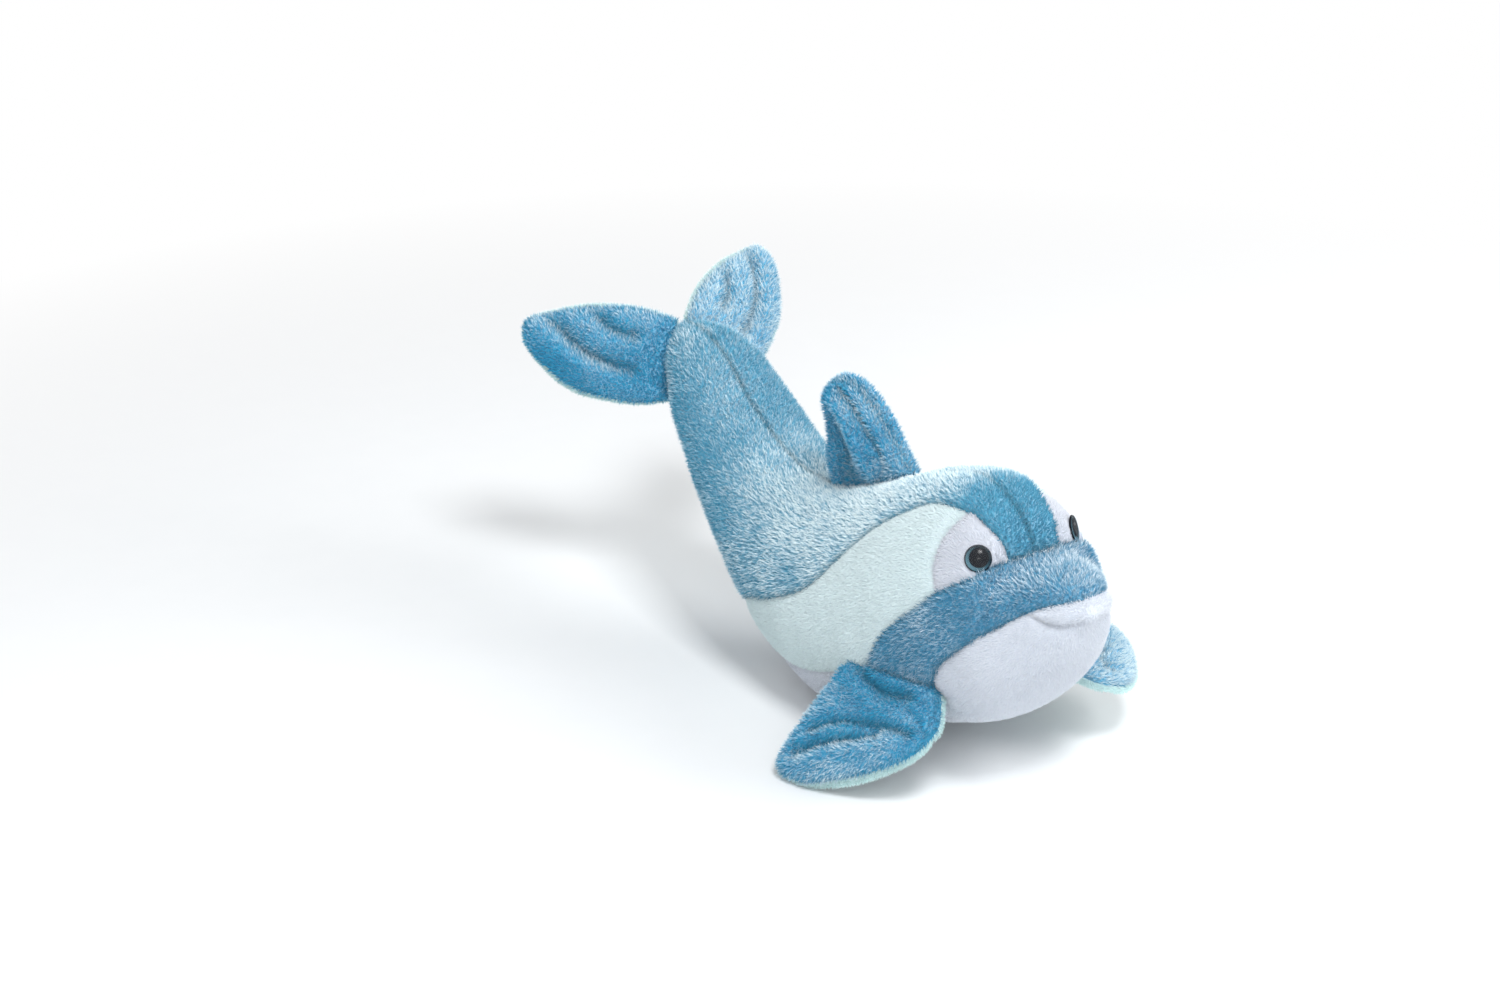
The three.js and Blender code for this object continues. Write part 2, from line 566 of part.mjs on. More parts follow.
// Flukes: u runs away from the tail's centre line, v along the tail
const lastRing = bodyRings.at(-1);
const slope = THREE.MathUtils.degToRad(fluke.slope);
const roll = THREE.MathUtils.degToRad(lastRing.roll);
const sweep = THREE.MathUtils.degToRad(fluke.sweepBack);
const tailAlong = new THREE.Vector3(0, Math.cos(slope), Math.sin(slope));
const tailUpright = new THREE.Vector3(0, -Math.sin(slope), Math.cos(slope));
const tailAcross = new THREE.Vector3(Math.cos(roll), 0, 0).addScaledVector(tailUpright, Math.sin(roll));
const tailDorsal = tailUpright.clone().multiplyScalar(Math.cos(roll))
  .add(new THREE.Vector3(-Math.sin(roll), 0, 0));
const tailEnd = new THREE.Vector3(0, ...lastRing.back).add(new THREE.Vector3(0, ...lastRing.belly))
  .multiplyScalar(0.5).addScaledVector(tailAlong, fluke.behindTail);
const flukeReach = Math.max(...fluke.outline.map(([u]) => u));
function flukePlacer(side) {
  const span = tailAcross.clone().multiplyScalar(side * Math.cos(sweep))
    .addScaledVector(tailDorsal, -Math.sin(sweep));
  const face = tailDorsal.clone().multiplyScalar(Math.cos(sweep))
    .addScaledVector(tailAcross, side * Math.sin(sweep));
  return (u, v, height) => tailEnd.clone()
    .addScaledVector(span, u)
    .addScaledVector(tailAlong, v)
    .addScaledVector(face, height - fluke.curl * (u / flukeReach) ** 2);
}

for (const [side, sign] of [['right', -1], ['left', 1]]) {
  const place = pectoralPlacer(sign, pectoralPoses[side]);
  const outline = [...finOutline(pectoral.outline), ...pectoralRoot()];
  const solids = finSolids(outline, pectoral.thickness, place);
  addFin(`pectoral_fin_${side}`, solids, 'top', 'bottom', fabricColours.finBlue, fabricColours.mint);
}
for (const [side, sign] of [['right', -1], ['left', 1]]) {
  const solids = finSolids(finOutline(fluke.outline), fluke.thickness, flukePlacer(sign));
  addFin(`fluke_${side}`, solids, 'top', 'bottom', fabricColours.finBlue, fabricColours.mint);
}

// The dorsal fin's root follows the back's profile from rear to front
const dorsalRootHeight = backHeight(dorsal.rootFront);
const dorsalRoot = [];
for (let step = 0; step < dorsal.rootSteps; step += 1) {
  const y = THREE.MathUtils.lerp(dorsal.rootRear, dorsal.rootFront, step / dorsal.rootSteps);
  dorsalRoot.push(new THREE.Vector2(y - dorsal.rootFront, backHeight(y) - dorsalRootHeight));
}
const placeDorsal = (u, v, height) => new THREE.Vector3(
  -height, dorsal.rootFront + u, dorsalRootHeight + rootGap + v);
const dorsalSolids = finSolids([...finOutline(dorsal.outline), ...dorsalRoot], dorsal.thickness, placeDorsal);
addFin('dorsal_fin', dorsalSolids, 'right_panel', 'left_panel', fabricColours.finBlue, fabricColours.finBlue);

export default dolphin;
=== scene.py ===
"""Plush dolphin: sewn pile fabric, glossy eyes and a pale studio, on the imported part's frame."""
import json
import math

import bmesh
import bpy
import numpy as np
from bpy.props import FloatProperty, FloatVectorProperty, PointerProperty
from mathutils import Matrix, Vector, noise
from mathutils.bvhtree import BVHTree
from mathutils.kdtree import KDTree


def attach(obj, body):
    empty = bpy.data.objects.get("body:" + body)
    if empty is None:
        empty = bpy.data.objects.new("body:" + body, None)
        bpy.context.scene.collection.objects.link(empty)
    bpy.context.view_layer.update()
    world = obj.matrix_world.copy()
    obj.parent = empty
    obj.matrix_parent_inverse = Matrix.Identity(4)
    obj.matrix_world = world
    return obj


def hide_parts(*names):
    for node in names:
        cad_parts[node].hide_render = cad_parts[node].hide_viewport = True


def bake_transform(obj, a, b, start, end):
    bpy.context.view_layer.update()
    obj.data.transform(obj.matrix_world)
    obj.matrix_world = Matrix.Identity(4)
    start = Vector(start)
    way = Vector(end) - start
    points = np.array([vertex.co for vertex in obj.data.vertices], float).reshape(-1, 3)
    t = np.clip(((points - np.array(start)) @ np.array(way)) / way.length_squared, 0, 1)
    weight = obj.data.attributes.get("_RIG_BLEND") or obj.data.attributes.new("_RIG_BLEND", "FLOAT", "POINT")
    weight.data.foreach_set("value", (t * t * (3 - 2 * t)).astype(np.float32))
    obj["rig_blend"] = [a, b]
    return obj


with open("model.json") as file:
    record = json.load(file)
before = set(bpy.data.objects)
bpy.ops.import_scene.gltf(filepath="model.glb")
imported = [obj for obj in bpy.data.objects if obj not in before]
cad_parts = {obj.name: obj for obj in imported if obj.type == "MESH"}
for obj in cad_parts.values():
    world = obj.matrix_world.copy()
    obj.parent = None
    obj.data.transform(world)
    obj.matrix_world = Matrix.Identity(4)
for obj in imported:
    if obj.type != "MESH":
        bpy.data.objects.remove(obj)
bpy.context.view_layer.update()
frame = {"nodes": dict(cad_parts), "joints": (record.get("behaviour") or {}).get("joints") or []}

bl_info = {
    "name": "Plush dolphin",
    "version": (1, 0, 0),
    "blender": (4, 5, 0),
    "location": "View3D > Sidebar > Plush dolphin",
    "description": "Makes the sewn panels, pile, eyes and fins of a plush dolphin",
    "category": "Add Mesh",
}

MM = 0.001
BAKE_MAP = "OFBake"
SIDES = (("right", -1), ("left", 1))
# Distance between the clumps that the pile's tufts gather in
CLUMP = 1.3 * MM

# Body rings from beak to tail, in millimetres: back y and z, belly y and z, half the width,
# squareness and roll in degrees. They are the ones of the CAD model.
BODY_RINGS = np.array([
    (-143, 100, -142, 94, 7, 2.0, 0),
    (-137, 107, -139, 86, 14, 2.2, 0),
    (-123, 111, -133, 72, 23, 2.2, 0),
    (-107, 112, -123, 56, 33, 2.3, 0),
    (-98, 125, -111, 42, 39, 2.2, 0),
    (-73, 137, -89, 27, 44.5, 2.1, 0),
    (-41, 129, -57, 14, 47, 2.1, 0),
    (-7, 113, -20, -1.8, 46, 2.1, 0),
    (27, 100, 17, -2.2, 44, 2.1, 2),
    (57, 98, 53, 13, 40, 2.1, 6),
    (80, 106, 81, 41, 36, 2.1, 11),
    (101, 119, 111, 75, 31, 2.1, 15),
    (119, 134, 135, 102, 25.5, 2.1, 15),
    (136, 142, 148, 123, 17, 2.1, 14),
    (151, 143, 155, 137, 4.5, 2.0, 13.5),
])
# Weight of the squareness beside the lengths where the curve through the rings spaces its points
SQUARENESS_WEIGHT = 10
# Rounded ends of the body: their depth and rows of quads
CAP_DEPTH = 2.5
CAP_ROWS = 6
# Length round the body that sets how many quads its cloth has there
GIRTH = 300

# Seams in the side view, as y and z in millimetres
BEAK_JUNCTION = (-105, 112.5)
PATCH_TOP = (-83, 129.5)
PATCH_REAR = (-86, 97.5)
FIN_SEAM_REAR = (-41, 43)
FIN_SEAM_FRONT = (-82, 43)
MOUTH_CORNER = (-125, 97.6)
UNDER_TAIL = (73, 27)
SEAM_LINES = {
    "back": [
        PATCH_TOP, (-73, 130), (-60, 127), (-41, 114), (-23, 97), (2, 69), (31, 52), (55, 42), UNDER_TAIL],
    "patch_rear": [PATCH_TOP, (-80, 120), (-81, 108), PATCH_REAR],
    "patch_low": [BEAK_JUNCTION, (-98, 106), PATCH_REAR],
    "band_rear": [PATCH_REAR, (-77, 88), (-64, 76), (-53, 63), FIN_SEAM_REAR],
    "fin": [FIN_SEAM_REAR, FIN_SEAM_FRONT],
    "band_front": [FIN_SEAM_FRONT, (-83, 52), (-90, 64), (-105, 79), (-118, 91), MOUTH_CORNER],
    "lip": [MOUTH_CORNER, (-134, 102.5), (-143, 105)],
    "mouth": [MOUTH_CORNER, (-131, 94.6), (-137, 92.7), (-140.5, 92.3), (-142.2, 95.1), (-143, 98.5)],
    "belly": [FIN_SEAM_REAR, (-20, 34), (5, 24), (40, 18), UNDER_TAIL],
}
# Front edge of each eye patch in the front view: distance from the centre and height
PATCH_FRONT = [(15, 106), (14.5, 112), (14.5, 117), (16.5, 123), (20, 131), (22, 136)]
# How far behind its upper corner an eye patch may reach
PATCH_DEPTH = 6
# A distance that is outside the toy, for panels that are open there
REACH = 260
PANELS = [
    "back_panel_right", "back_panel_left", "flank_panel_right", "flank_panel_left",
    "eye_patch_right", "eye_patch_left", "snout_band", "lip_panel", "belly_panel"]
# Rounds of halving that find where an edge of the cloth crosses a seam
HALVINGS = 14

# Eyes: place in the side view, the way the left one faces, and how far it sinks into the skin
EYE_PLACE = (-99.2, 114.5)
EYE_FACING = (0.6, -0.74, 0.3)
EYE_SINK = 2.4
# Where the cloth is pressed in under an eye and how steeply it comes back, and where no pile grows
EYE_SEAT = 6.1 * MM
EYE_SEAT_REACH = 12 * MM
EYE_SEAT_SLOPE = 1.1
EYE_BARE = 6.3 * MM
# Parts of an eye, as radius and height above the skin
DISC_PROFILE = [(0, 0.1), (5.6, 0.1), (6, 0.4), (6, 0.8), (5.8, 1.0), (0, 1.05)]
DOME_RIM = [(0, 1.1), (5.5, 1.1), (5.95, 1.25), (6, 1.6)]
DOME_RISE = 3.9
DOME_STEPS = 12
SHANK_PROFILE = [(0, -13), (1.2, -13), (2, -11.5), (2, -3), (2, 0), (5.4, 0), (5.4, 0.05), (0, 0.05)]
# Painted light: the ring in an eye is painted brighter towards its lower left in the camera's view, where it
# is also wider
LOW_LEFT = (-0.7, 0.2, -0.68)
PUPIL_EDGE = (4.1 * MM, 4.5 * MM)
RIM_EDGE = (5.2 * MM, 5.5 * MM)
RING_WIDENS = 0.12
RING_FADE = (-3 * MM, 4.5 * MM)
RING_LEAST = 0.1
PUPIL_BLACK = (0.004, 0.005, 0.008)
LENS_ROUGHNESS = 0.19
LENS_SMEAR = 0.04
LENS_IOR = 1.34

# Pectoral fins, as in the CAD model: root ends in the side view, and the outline as
# along the root and away from it
PECTORAL_FRONT = (-86, 46)
PECTORAL_REAR = (-30, 42)
PECTORAL_STAND_OFF = 1
PECTORAL_ROOT_DEPTH = 6.5
PECTORAL_OUTLINE = [
    (0, 0), (-4, 7), (-6, 15), (0, 28), (14, 39), (31, 48), (48, 54.5), (61, 54.5), (67, 49), (65, 36),
    (61, 18), (57, 0)]
PECTORAL_POSES = {
    "right": {"droop": 44, "forward": 0, "dip": 0},
    "left": {"droop": 14, "forward": 0.37, "dip": 14},
}
PECTORAL_THICKNESS = 17
PECTORAL_CURL = 3
# Flukes: outline as away from the tail's centre line and along the tail
FLUKE_OUTLINE = [
    (21, -34), (36, -28.5), (50, -19), (62, -8), (70, 6), (74.5, 19), (73, 27), (68, 30.5), (52, 27),
    (36, 22), (18, 13), (3, 0.5)]
FLUKE_ROOT = [(6, -8), (12, -18), (16, -26)]
FLUKE_SLOPE = 50.6
FLUKE_SWEEP = 25
FLUKE_BEHIND_TAIL = 2.8
FLUKE_THICKNESS = 16
FLUKE_CURL = 3
# Furrows and folds on the fins: a line in the fin's own plane, its depth and half its width. A
# ridge has a depth below nothing.
FLUKE_RELIEF = [
    ([(59, 31), (56, 19), (50, 5), (42, -5), (32, -14)], 5.0, 3.6),
    ([(38, 25), (35, 13), (31, 6), (25, 1)], 4.6, 3.6),
    ([(66, 22), (59, 5), (48, -9)], -1.2, 5.0),
]
PECTORAL_RELIEF = [
    ([(57, 44), (42.5, 35.5), (31, 30.5), (19, 25)], 4.6, 3.4),
    ([(53, 33), (42.5, 26.5), (32, 23.5), (20.5, 21), (5, 20.5)], 3.6, 3.0),
    ([(47, -1), (30.5, 5.5), (20, 6), (11.5, 4.5)], 4.6, 3.0),
    ([(54, 8), (37.5, 16.5), (27.5, 18)], 1.5, 5.0),
    ([(27, 11.5), (17.5, 9.5), (4.5, 13), (-4, 19)], 1.6, 1.8),
    ([(55, 38), (42, 31), (28, 27)], -1.6, 2.4),
    ([(40, -1), (26, 0), (14, 0), (4, 1)], -3.0, 3.6),
]
# Dorsal fin: outline as towards the tail and up from the front of its root
DORSAL_FRONT = -20
DORSAL_REAR = 39
DORSAL_STAND_OFF = 0.9
DORSAL_ROOT_DEPTH = 4
DORSAL_THICKNESS = 20
DORSAL_OUTLINE = [
    (0, 0), (9, 7.5), (20, 17.5), (31, 24.5), (42, 28.5), (52, 28), (60, 23), (62, 16), (59.5, 7),
    (57.5, -3), (57.5, -13)]
DORSAL_RELIEF = [
    ([(47, 9), (42, -2), (40, -12)], 6.8, 7.5),
    ([(48, 21), (37, 15), (28, 5), (21, -7)], -3.0, 3.0),
    ([(50, 26), (38, 22), (24, 12), (12, 1)], 2.8, 1.8),
]
# Every fin: how far the pale underside swells past the seam, the shape of the section, and the
# height of the section from which a furrow has its full depth
UNDER_SWELL = 4.2
UNDER_SWELL_START = 0.74
SECTION_POWER = 2.2
SECTION_FULLNESS = 0.6
FULL_FURROW_HEIGHT = 4
# How dark the painted shade is at a fin's edge and in its deep furrows
FIN_REACH = 30
EDGE_SHADE = 0.45
EDGE_SHADE_WIDTH = 1.6
SHADED_FURROW_DEPTH = 2.5
FURROW_SHADE = 0.35
FURROW_LINE_SHADE = 0.4
FURROW_LINE_WIDTH = 1.2
# What the pile takes off a fin's thickness, what cloth and pile take off its stuffing, the cloth's
# thickness, and the length over which a fin bends at its root
FIN_PILE_ROOM = 2.4
FIN_STUFFING_ROOM = 8
FIN_FABRIC = 1.4 * MM
FIN_BEND = 12 * MM
# Pile of the fins: tufts a square millimetre, lean, the painted light added where it faces up, and how patchy
# its paleness is
FIN_DENSITY = 3.4
FIN_LEAN = 0.5
FIN_PAINTED_TOP_LIGHT = 0.5
FIN_PATCHINESS = 0.5
# The two sides of a fin: name, fabric and slot
FLAT_SIDES = [("top", "fin", "fin_plush"), ("bottom", "under", "mint_plush")]
UPRIGHT_SIDES = [("right_panel", "fin", "fin_plush"), ("left_panel", "fin", "fin_plush")]

# The body's cloth between its seams, each as height and width: lumps of the stuffing, swelling
# away from the seams, the crease of the mouth and the swell of the lip
LUMP = (0.5, 22)
SWELLING = (0.5, 9)
CREASE = (0.9, 2)
LIP_SWELL = (1.2, 3)
# Width of the painted shade in a seam, and the length over which seams and their painted shade fade towards
# the beak's tip
SEAM_SHADE_WIDTH = 1.3
SEAM_FADE = 9
BEAK_LENGTH = 5
BEAK_ROUNDS = 12
# Cloth and pile stay this high above the floor, and cloth below the last height has no pile
FLOOR_ROOM = 0.3 * MM
PILE_FLOOR_ROOM = 0.05 * MM
RESTING_HEIGHT = 1.2 * MM
# Share of the baking map over which a tuft is spread
TUFT_ON_MAP = 0.004

# Painted light from above on the nap, in random patches: the upward slope where the nap starts to pale and
# the span to its full paleness, the palest it gets, the width of its patches, and for the body its least and
# most paleness and how strong the patches are
TOP_LIGHT_START = 0.35
TOP_LIGHT_SPAN = 0.55
PALEST = 1.8
PATCH_WIDTH = 20 * MM
BODY_PAINTED_TOP_LIGHT = (1.05, 1.6)
BODY_PATCHINESS = 0.45
# Painted light and shade by place, as how much of its paleness the nap keeps: painted shade on the forehead,
# where it fades forwards, below the head, at the chin and on the left of the tail, and painted light and
# shade along the body and up a pectoral fin
FOREHEAD = {"y": -68, "z": 112, "fade": 20, "least": 0.3}
BELOW_HEAD = {"y": -40, "z": 80, "painted_light_by_place": 0.68}
CHIN = {"y": -85, "z": 112, "painted_light_by_place": 0.74}
LEFT_TAIL = {"x": 3, "y": 50, "painted_light_by_place": 0.78}
BODY_PAINTED_LIGHT_ALONG = ([-85, -60, -40, 20, 55, 95], [0.85, 1.0, 1.5, 1.4, 1.0, 0.7])
PECTORAL_PAINTED_LIGHT_UP = ([6, 16, 30, 44], [1.7, 1.35, 0.85, 0.5])

# How far tufts gather in their clumps: long pile, short pile, and short pile on the fins
LONG_GATHER = 1.2
SHORT_GATHER = 0.3
FIN_SHORT_GATHER = 0.4
# How a tuft strays by itself and in swirls, how wide a swirl is, and how much chance and its place in a clump
# change its length and tone. The tone varies at random and is darker towards a clump's edge, as painted shade
# between the clumps
STRAY = 0.35
SWIRL = 1.0
SWIRL_WIDTH = 6 * MM
LENGTH_SPREAD = 0.4
CLUMP_RISE = 0.6
CHANCE_TONE = 0.4
# How pale a tuft is: its rise towards the tip, the parts of mottles and clumps, and what is added
TIP_RISE = 1.1
MOTTLES_PART = 0.9
MIDDLE_TONE = 0.55
CLUMPS_PART = 2.9
PALE_START = 0.2
# How far the painted shade in the seams goes towards its colour
SEAM_PAINTED_SHADE = 0.6

# Stuffing of the body: length of a quad, width and height of its curls
STUFFING_STEP = 2.5 * MM
CURL_WIDTH = 6 * MM
CURL_HEIGHT = 0.2 * MM

# Studio, in metres
CAMERA_PLACE = (-0.9205, -1.1430, 0.7231)
CAMERA_RIGHT = (0.8039, -0.5948, 0)
CAMERA_UP = (0.2324, 0.3141, 0.9206)
FLOOR_PLACE = (0, 0, -0.0003)
FLOOR_FADE = (0.42, 0.78)
PAPER = [(0.9, 0.918, 0.932), (0.92, 0.936, 0.948)]
LAMP_AIM = (0, 0, 0.06)
# Lamps: place, size, the setting that gives the power, the share of it, colour, and whether the
# lamp shows in gloss
LAMPS = {
    "key": ((1.0, -0.8, 1.0), 1.0, "key", 1.0, (1.0, 0.99, 0.98), False),
    "top": ((-0.24, -0.78, 1.43), 0.42, "fill", 1.25, (0.98, 0.99, 1.0), True),
    "spark_left": ((-1.17, -1.43, 0.74), 0.1, "spark", 1.4, (1, 1, 1), True),
    "spark_right": ((-0.95, -1.6, 0.72), 0.1, "spark", 1.0, (1, 1, 1), True),
    "front": ((-1.2, -1.0, 0.9), 2.0, "fill", 1.0, (0.96, 0.98, 1.0), False),
}


def linear(red, green, blue):
    """A colour given from 0 to 255, as Blender's own linear values."""
    shares = [value / 255 for value in (red, green, blue)]
    return tuple(s / 12.92 if s <= 0.04045 else ((s + 0.055) / 1.055) ** 2.4 for s in shares)


def colour_property(name, what, red, green, blue):
    return FloatVectorProperty(
        name=name, description=what, subtype="COLOR", size=3, min=0, max=1,
        default=linear(red, green, blue))


class PlushColours(bpy.types.PropertyGroup):
    """Colours of the fabrics and the eyes."""
    back: colour_property("Back", "Blue at the roots of the back's pile", 86, 164, 193)
    back_tip: colour_property("Back tips", "Pale tips of the back's pile", 238, 250, 252)
    band: colour_property("Band", "Steel blue at the roots of the pile over beak and cheeks", 78, 152, 186)
    band_tip: colour_property("Band tips", "Pale tips of the pile over beak and cheeks", 236, 246, 250)
    fin: colour_property("Fins", "Deep blue at the roots of the fins' pile", 60, 166, 204)
    fin_tip: colour_property("Fin tips", "Pale tips of the fins' pile", 232, 246, 250)
    mint: colour_property("Flank", "Pale mint pile of the flanks", 223, 237, 239)
    fin_under: colour_property("Fin underside", "Mint pile under the fins", 212, 238, 238)
    white: colour_property("Belly", "White pile of belly, lip and jaw", 219, 224, 232)
    patch: colour_property("Eye patch", "White pile around the eyes", 216, 220, 228)
    iris: colour_property("Iris", "Ring round the pupil", 90, 128, 138)
    stuffing: colour_property("Stuffing", "Loose polyester fibre", 242, 242, 238)


def length_property(name, what, millimetres):
    return FloatProperty(name=name, description=what, default=millimetres * MM, min=0, unit="LENGTH")


class PlushSizes(bpy.types.PropertyGroup):
    """Sizes of the pile, the seams and the fabric."""
    back_pile: length_property("Back pile", "Length of the long pile", 2.5)
    short_pile: length_property("Short pile", "Length of the pile on pale fabric", 1.4)
    tuft_width: length_property("Tuft width", "Width of a tuft at its root", 0.45)
    fabric: length_property("Fabric", "Thickness of the backing cloth", 1.8)
    pile_room: length_property("Pile room", "How far the cloth lies inside the finished outline", 1.4)
    furrow_depth: length_property("Furrow depth", "How far a seam is drawn in", 1.2)
    furrow_width: length_property("Furrow width", "Half the width of a seam's furrow", 2.2)
    body_step: length_property("Body step", "Length of a quad of the body's cloth", 1.8)


class PlushStudio(bpy.types.PropertyGroup):
    """Light and floor."""
    key: FloatProperty(name="Key light", description="Power of the large light", default=15.8, unit="POWER")
    fill: FloatProperty(name="Fill light", description="Power of the fill light", default=11.3, unit="POWER")
    spark: FloatProperty(name="Sparks", description="Power of the eyes' small lamps", default=1, unit="POWER")
    world: FloatProperty(name="Ambient", description="Strength of the light from all round", default=0.42)
    lens: FloatProperty(name="Lens", description="Camera lens", default=85, unit="CAMERA")


class Value:
    """A node's output that Python's arithmetic works on. Each operation adds a Math node."""

    def __init__(self, tree, socket):
        self.tree = tree
        self.socket = socket

    def math(self, operation, *others, swapped=False):
        terms = [self, *others]
        if swapped:
            terms.reverse()
        return self.tree.node("ShaderNodeMath", dict(enumerate(terms)), operation=operation).out(0)

    def __add__(self, other):
        return self.math("ADD", other)

    def __sub__(self, other):
        return self.math("SUBTRACT", other)

    def __rsub__(self, other):
        return self.math("SUBTRACT", other, swapped=True)

    def __mul__(self, other):
        return self.math("MULTIPLY", other)

    def __pow__(self, power):
        return self.math("POWER", power)

    __radd__ = __add__
    __rmul__ = __mul__


class Made:
    """A new node, whose outputs come as values."""

    def __init__(self, tree, node):
        self.tree = tree
        self.node = node

    def out(self, key=0):
        return Value(self.tree, self.node.outputs[key])


class Tree:
    """A node tree, and short ways to add the nodes that come often."""

    def __init__(self, tree):
        self.tree = tree

    def node(self, kind, sockets=None, **settings):
        made = self.tree.nodes.new(kind)
        for name, value in settings.items():
            setattr(made, name, value)
        for key, value in (sockets or {}).items():
            if isinstance(value, Value):
                self.tree.links.new(value.socket, made.inputs[key])
            else:
                made.inputs[key].default_value = value
        return Made(self, made)

    def mix(self, share, first, second, blend="MIX"):
        """Two colours mixed by a share from 0 to 1."""
        colours = {}
        for key, colour in ((6, first), (7, second)):
            colours[key] = colour if isinstance(colour, Value) else (*colour, 1)
        return self.node(
            "ShaderNodeMix", {0: share, **colours}, data_type="RGBA", blend_type=blend).out(2)

    def vector(self, operation, first, second):
        """Vector Math on two vectors, or on a vector and a number where it scales."""
        key = 3 if operation == "SCALE" else 1
        return self.node("ShaderNodeVectorMath", {0: first, key: second}, operation=operation).out(0)

    def length(self, vector):
        return self.node("ShaderNodeVectorMath", {0: vector}, operation="LENGTH").out("Value")

    def place(self):
        """Where the shaded point lies on its own object."""
        return self.node("ShaderNodeTexCoord").out("Object")

    def attribute(self, name, key="Fac"):
        """A value that the mesh carries."""
        return self.node("ShaderNodeAttribute", attribute_name=name).out(key)

    def bump(self, height, strength, distance):
        sockets = {"Strength": strength, "Distance": distance, "Height": height}
        return self.node("ShaderNodeBump", sockets).out(0)

    def surface(self, colour, roughness, more):
        """The Principled shader, with more of its sockets by name."""
        return self.node("ShaderNodeBsdfPrincipled", {"Base Color": colour, "Roughness": roughness, **more})

    def shader_mix(self, share, first, second):
        return self.node("ShaderNodeMixShader", {0: share, 1: first.out(0), 2: second.out(0)})

    def noise(self, place, size, detail=2.0, roughness=0.5, key="Fac"):
        """Noise whose lumps are about size metres across."""
        sockets = {"Vector": place, "Scale": 1 / size, "Detail": detail, "Roughness": roughness}
        return self.node("ShaderNodeTexNoise", sockets).out(key)


def new_material(name):
    material = bpy.data.materials.new(name)
    material.use_nodes = True
    material.node_tree.nodes.clear()
    return material, Tree(material.node_tree)


def finish_material(tree, shader):
    tree.node("ShaderNodeOutputMaterial", {"Surface": shader.out(0)})


def spread(tree, value, low, high):
    """Stretches a value so that low becomes 0 and high becomes 1."""
    sockets = {"Value": value, 1: low, 2: high}
    return tree.node("ShaderNodeMapRange", sockets, clamp=True).out(0)


def mottles(tree, place):
    """From 0 to 1: broad shades of the nap with mottles a few millimetres wide."""
    broad = spread(tree, tree.noise(place, 0.05, 2.0), 0.35, 0.65)
    small = spread(tree, tree.noise(place, 0.0032, 2.5, 0.6), 0.34, 0.66)
    return broad * 0.4 + small * 0.6


def pile_material(name, root, tip, frost, painted_shade_factor):
    """Pile fibres: deep at a tuft's root and pale at its tip, mottled, with the nap's painted light and shade
    and painted shade down in the seams.
    """
    material, tree = new_material(name)
    place = tree.attribute("root", "Vector")
    # The clumps' tone holds painted shade in the gaps between clumps
    clumps = (tree.attribute("tone") - MIDDLE_TONE) * CLUMPS_PART
    height = tree.attribute("tip")
    # Painted light and shade of the nap, which scales the paleness
    painted_nap_light = tree.attribute("painted_nap_light")
    paleness = (height ** TIP_RISE) * (mottles(tree, place) * MOTTLES_PART + clumps + PALE_START) * frost
    colour = tree.mix(paleness * painted_nap_light + (painted_nap_light - 1) * 0.4, root, tip)
    # Painted shade in the seams
    shade = tree.mix(tree.attribute("seam") * SEAM_PAINTED_SHADE, colour, tuple(c * painted_shade_factor for c in root))
    finish_material(tree, tree.surface(shade, 0.85, {
        "Specular IOR Level": 0.25, "Sheen Weight": 0.15, "Sheen Roughness": 0.5}))
    return material


def cloth_material(name, root, tip, painted_shade_factor):
    """Backing cloth under the pile: the pile's root colour with its mottles and a fine knit, and painted
    shade in the seams.
    """
    material, tree = new_material(name)
    place = tree.place()
    colour = tree.mix(mottles(tree, place) * 0.35, root, tip)
    knit = tree.noise(place, 0.0007, 2.0)
    shade = tree.mix(1.0, colour, tree.mix(knit, (0.8, 0.83, 0.86), (0.98, 0.98, 1.0)), "MULTIPLY")
    # Painted shade in the seams
    shade = tree.mix(tree.attribute("seam") * SEAM_PAINTED_SHADE, shade, tuple(c * painted_shade_factor for c in root))
    finish_material(tree, tree.surface(shade, 0.95, {
        "Specular IOR Level": 0.2, "Sheen Weight": 0.3, "Normal": tree.bump(knit, 0.6, 0.0004)}))
    return material


def fibre_material(name, colour):
    """Loose stuffing: soft matt fibre in small curls."""
    material, tree = new_material(name)
    curls = tree.noise(tree.place(), 0.003, 5.0, 0.7)
    shade = tree.mix(curls, tuple(c * 0.75 for c in colour), colour)
    finish_material(tree, tree.surface(shade, 1.0, {"Normal": tree.bump(curls, 0.8, 0.001)}))
    return material


def plastic_material(name, colour, roughness, coat=0.0):
    """Moulded plastic with the faint unevenness of its mould."""
    material, tree = new_material(name)
    uneven = tree.noise(tree.place(), 0.002, 3.0)
    shade = tree.mix(uneven, tuple(c * 0.9 for c in colour), colour)
    finish_material(tree, tree.surface(shade, roughness, {
        "Coat Weight": coat, "Coat Roughness": 0.02, "Normal": tree.bump(uneven, 0.1, 0.0001)}))
    return material


def unit(vectors):
    """Rows of vectors, each at length one."""
    return vectors / np.linalg.norm(vectors, axis=1)[:, None]


def bell(away, width):
    """1 at a line, falling off over about a width from it."""
    return np.exp(-(away / width) ** 2)


def curve_pieces(knots, ahead_of_first, behind_last, place):
    """The four knots round each place on a curve, and how far it is between the middle two."""
    padded = np.vstack([ahead_of_first, knots, behind_last])
    index = np.minimum(place.astype(int), len(knots) - 2)
    return [padded[index + step] for step in range(4)], (place - index)[:, None]


def cubic(start, end, leave, arrive, share):
    """Points between start and end on cubic pieces that leave and arrive with these slopes."""
    square = -3 * start + 3 * end - 2 * leave - arrive
    cube = 2 * start - 2 * end + leave + arrive
    return start + share * (leave + share * (square + share * cube))


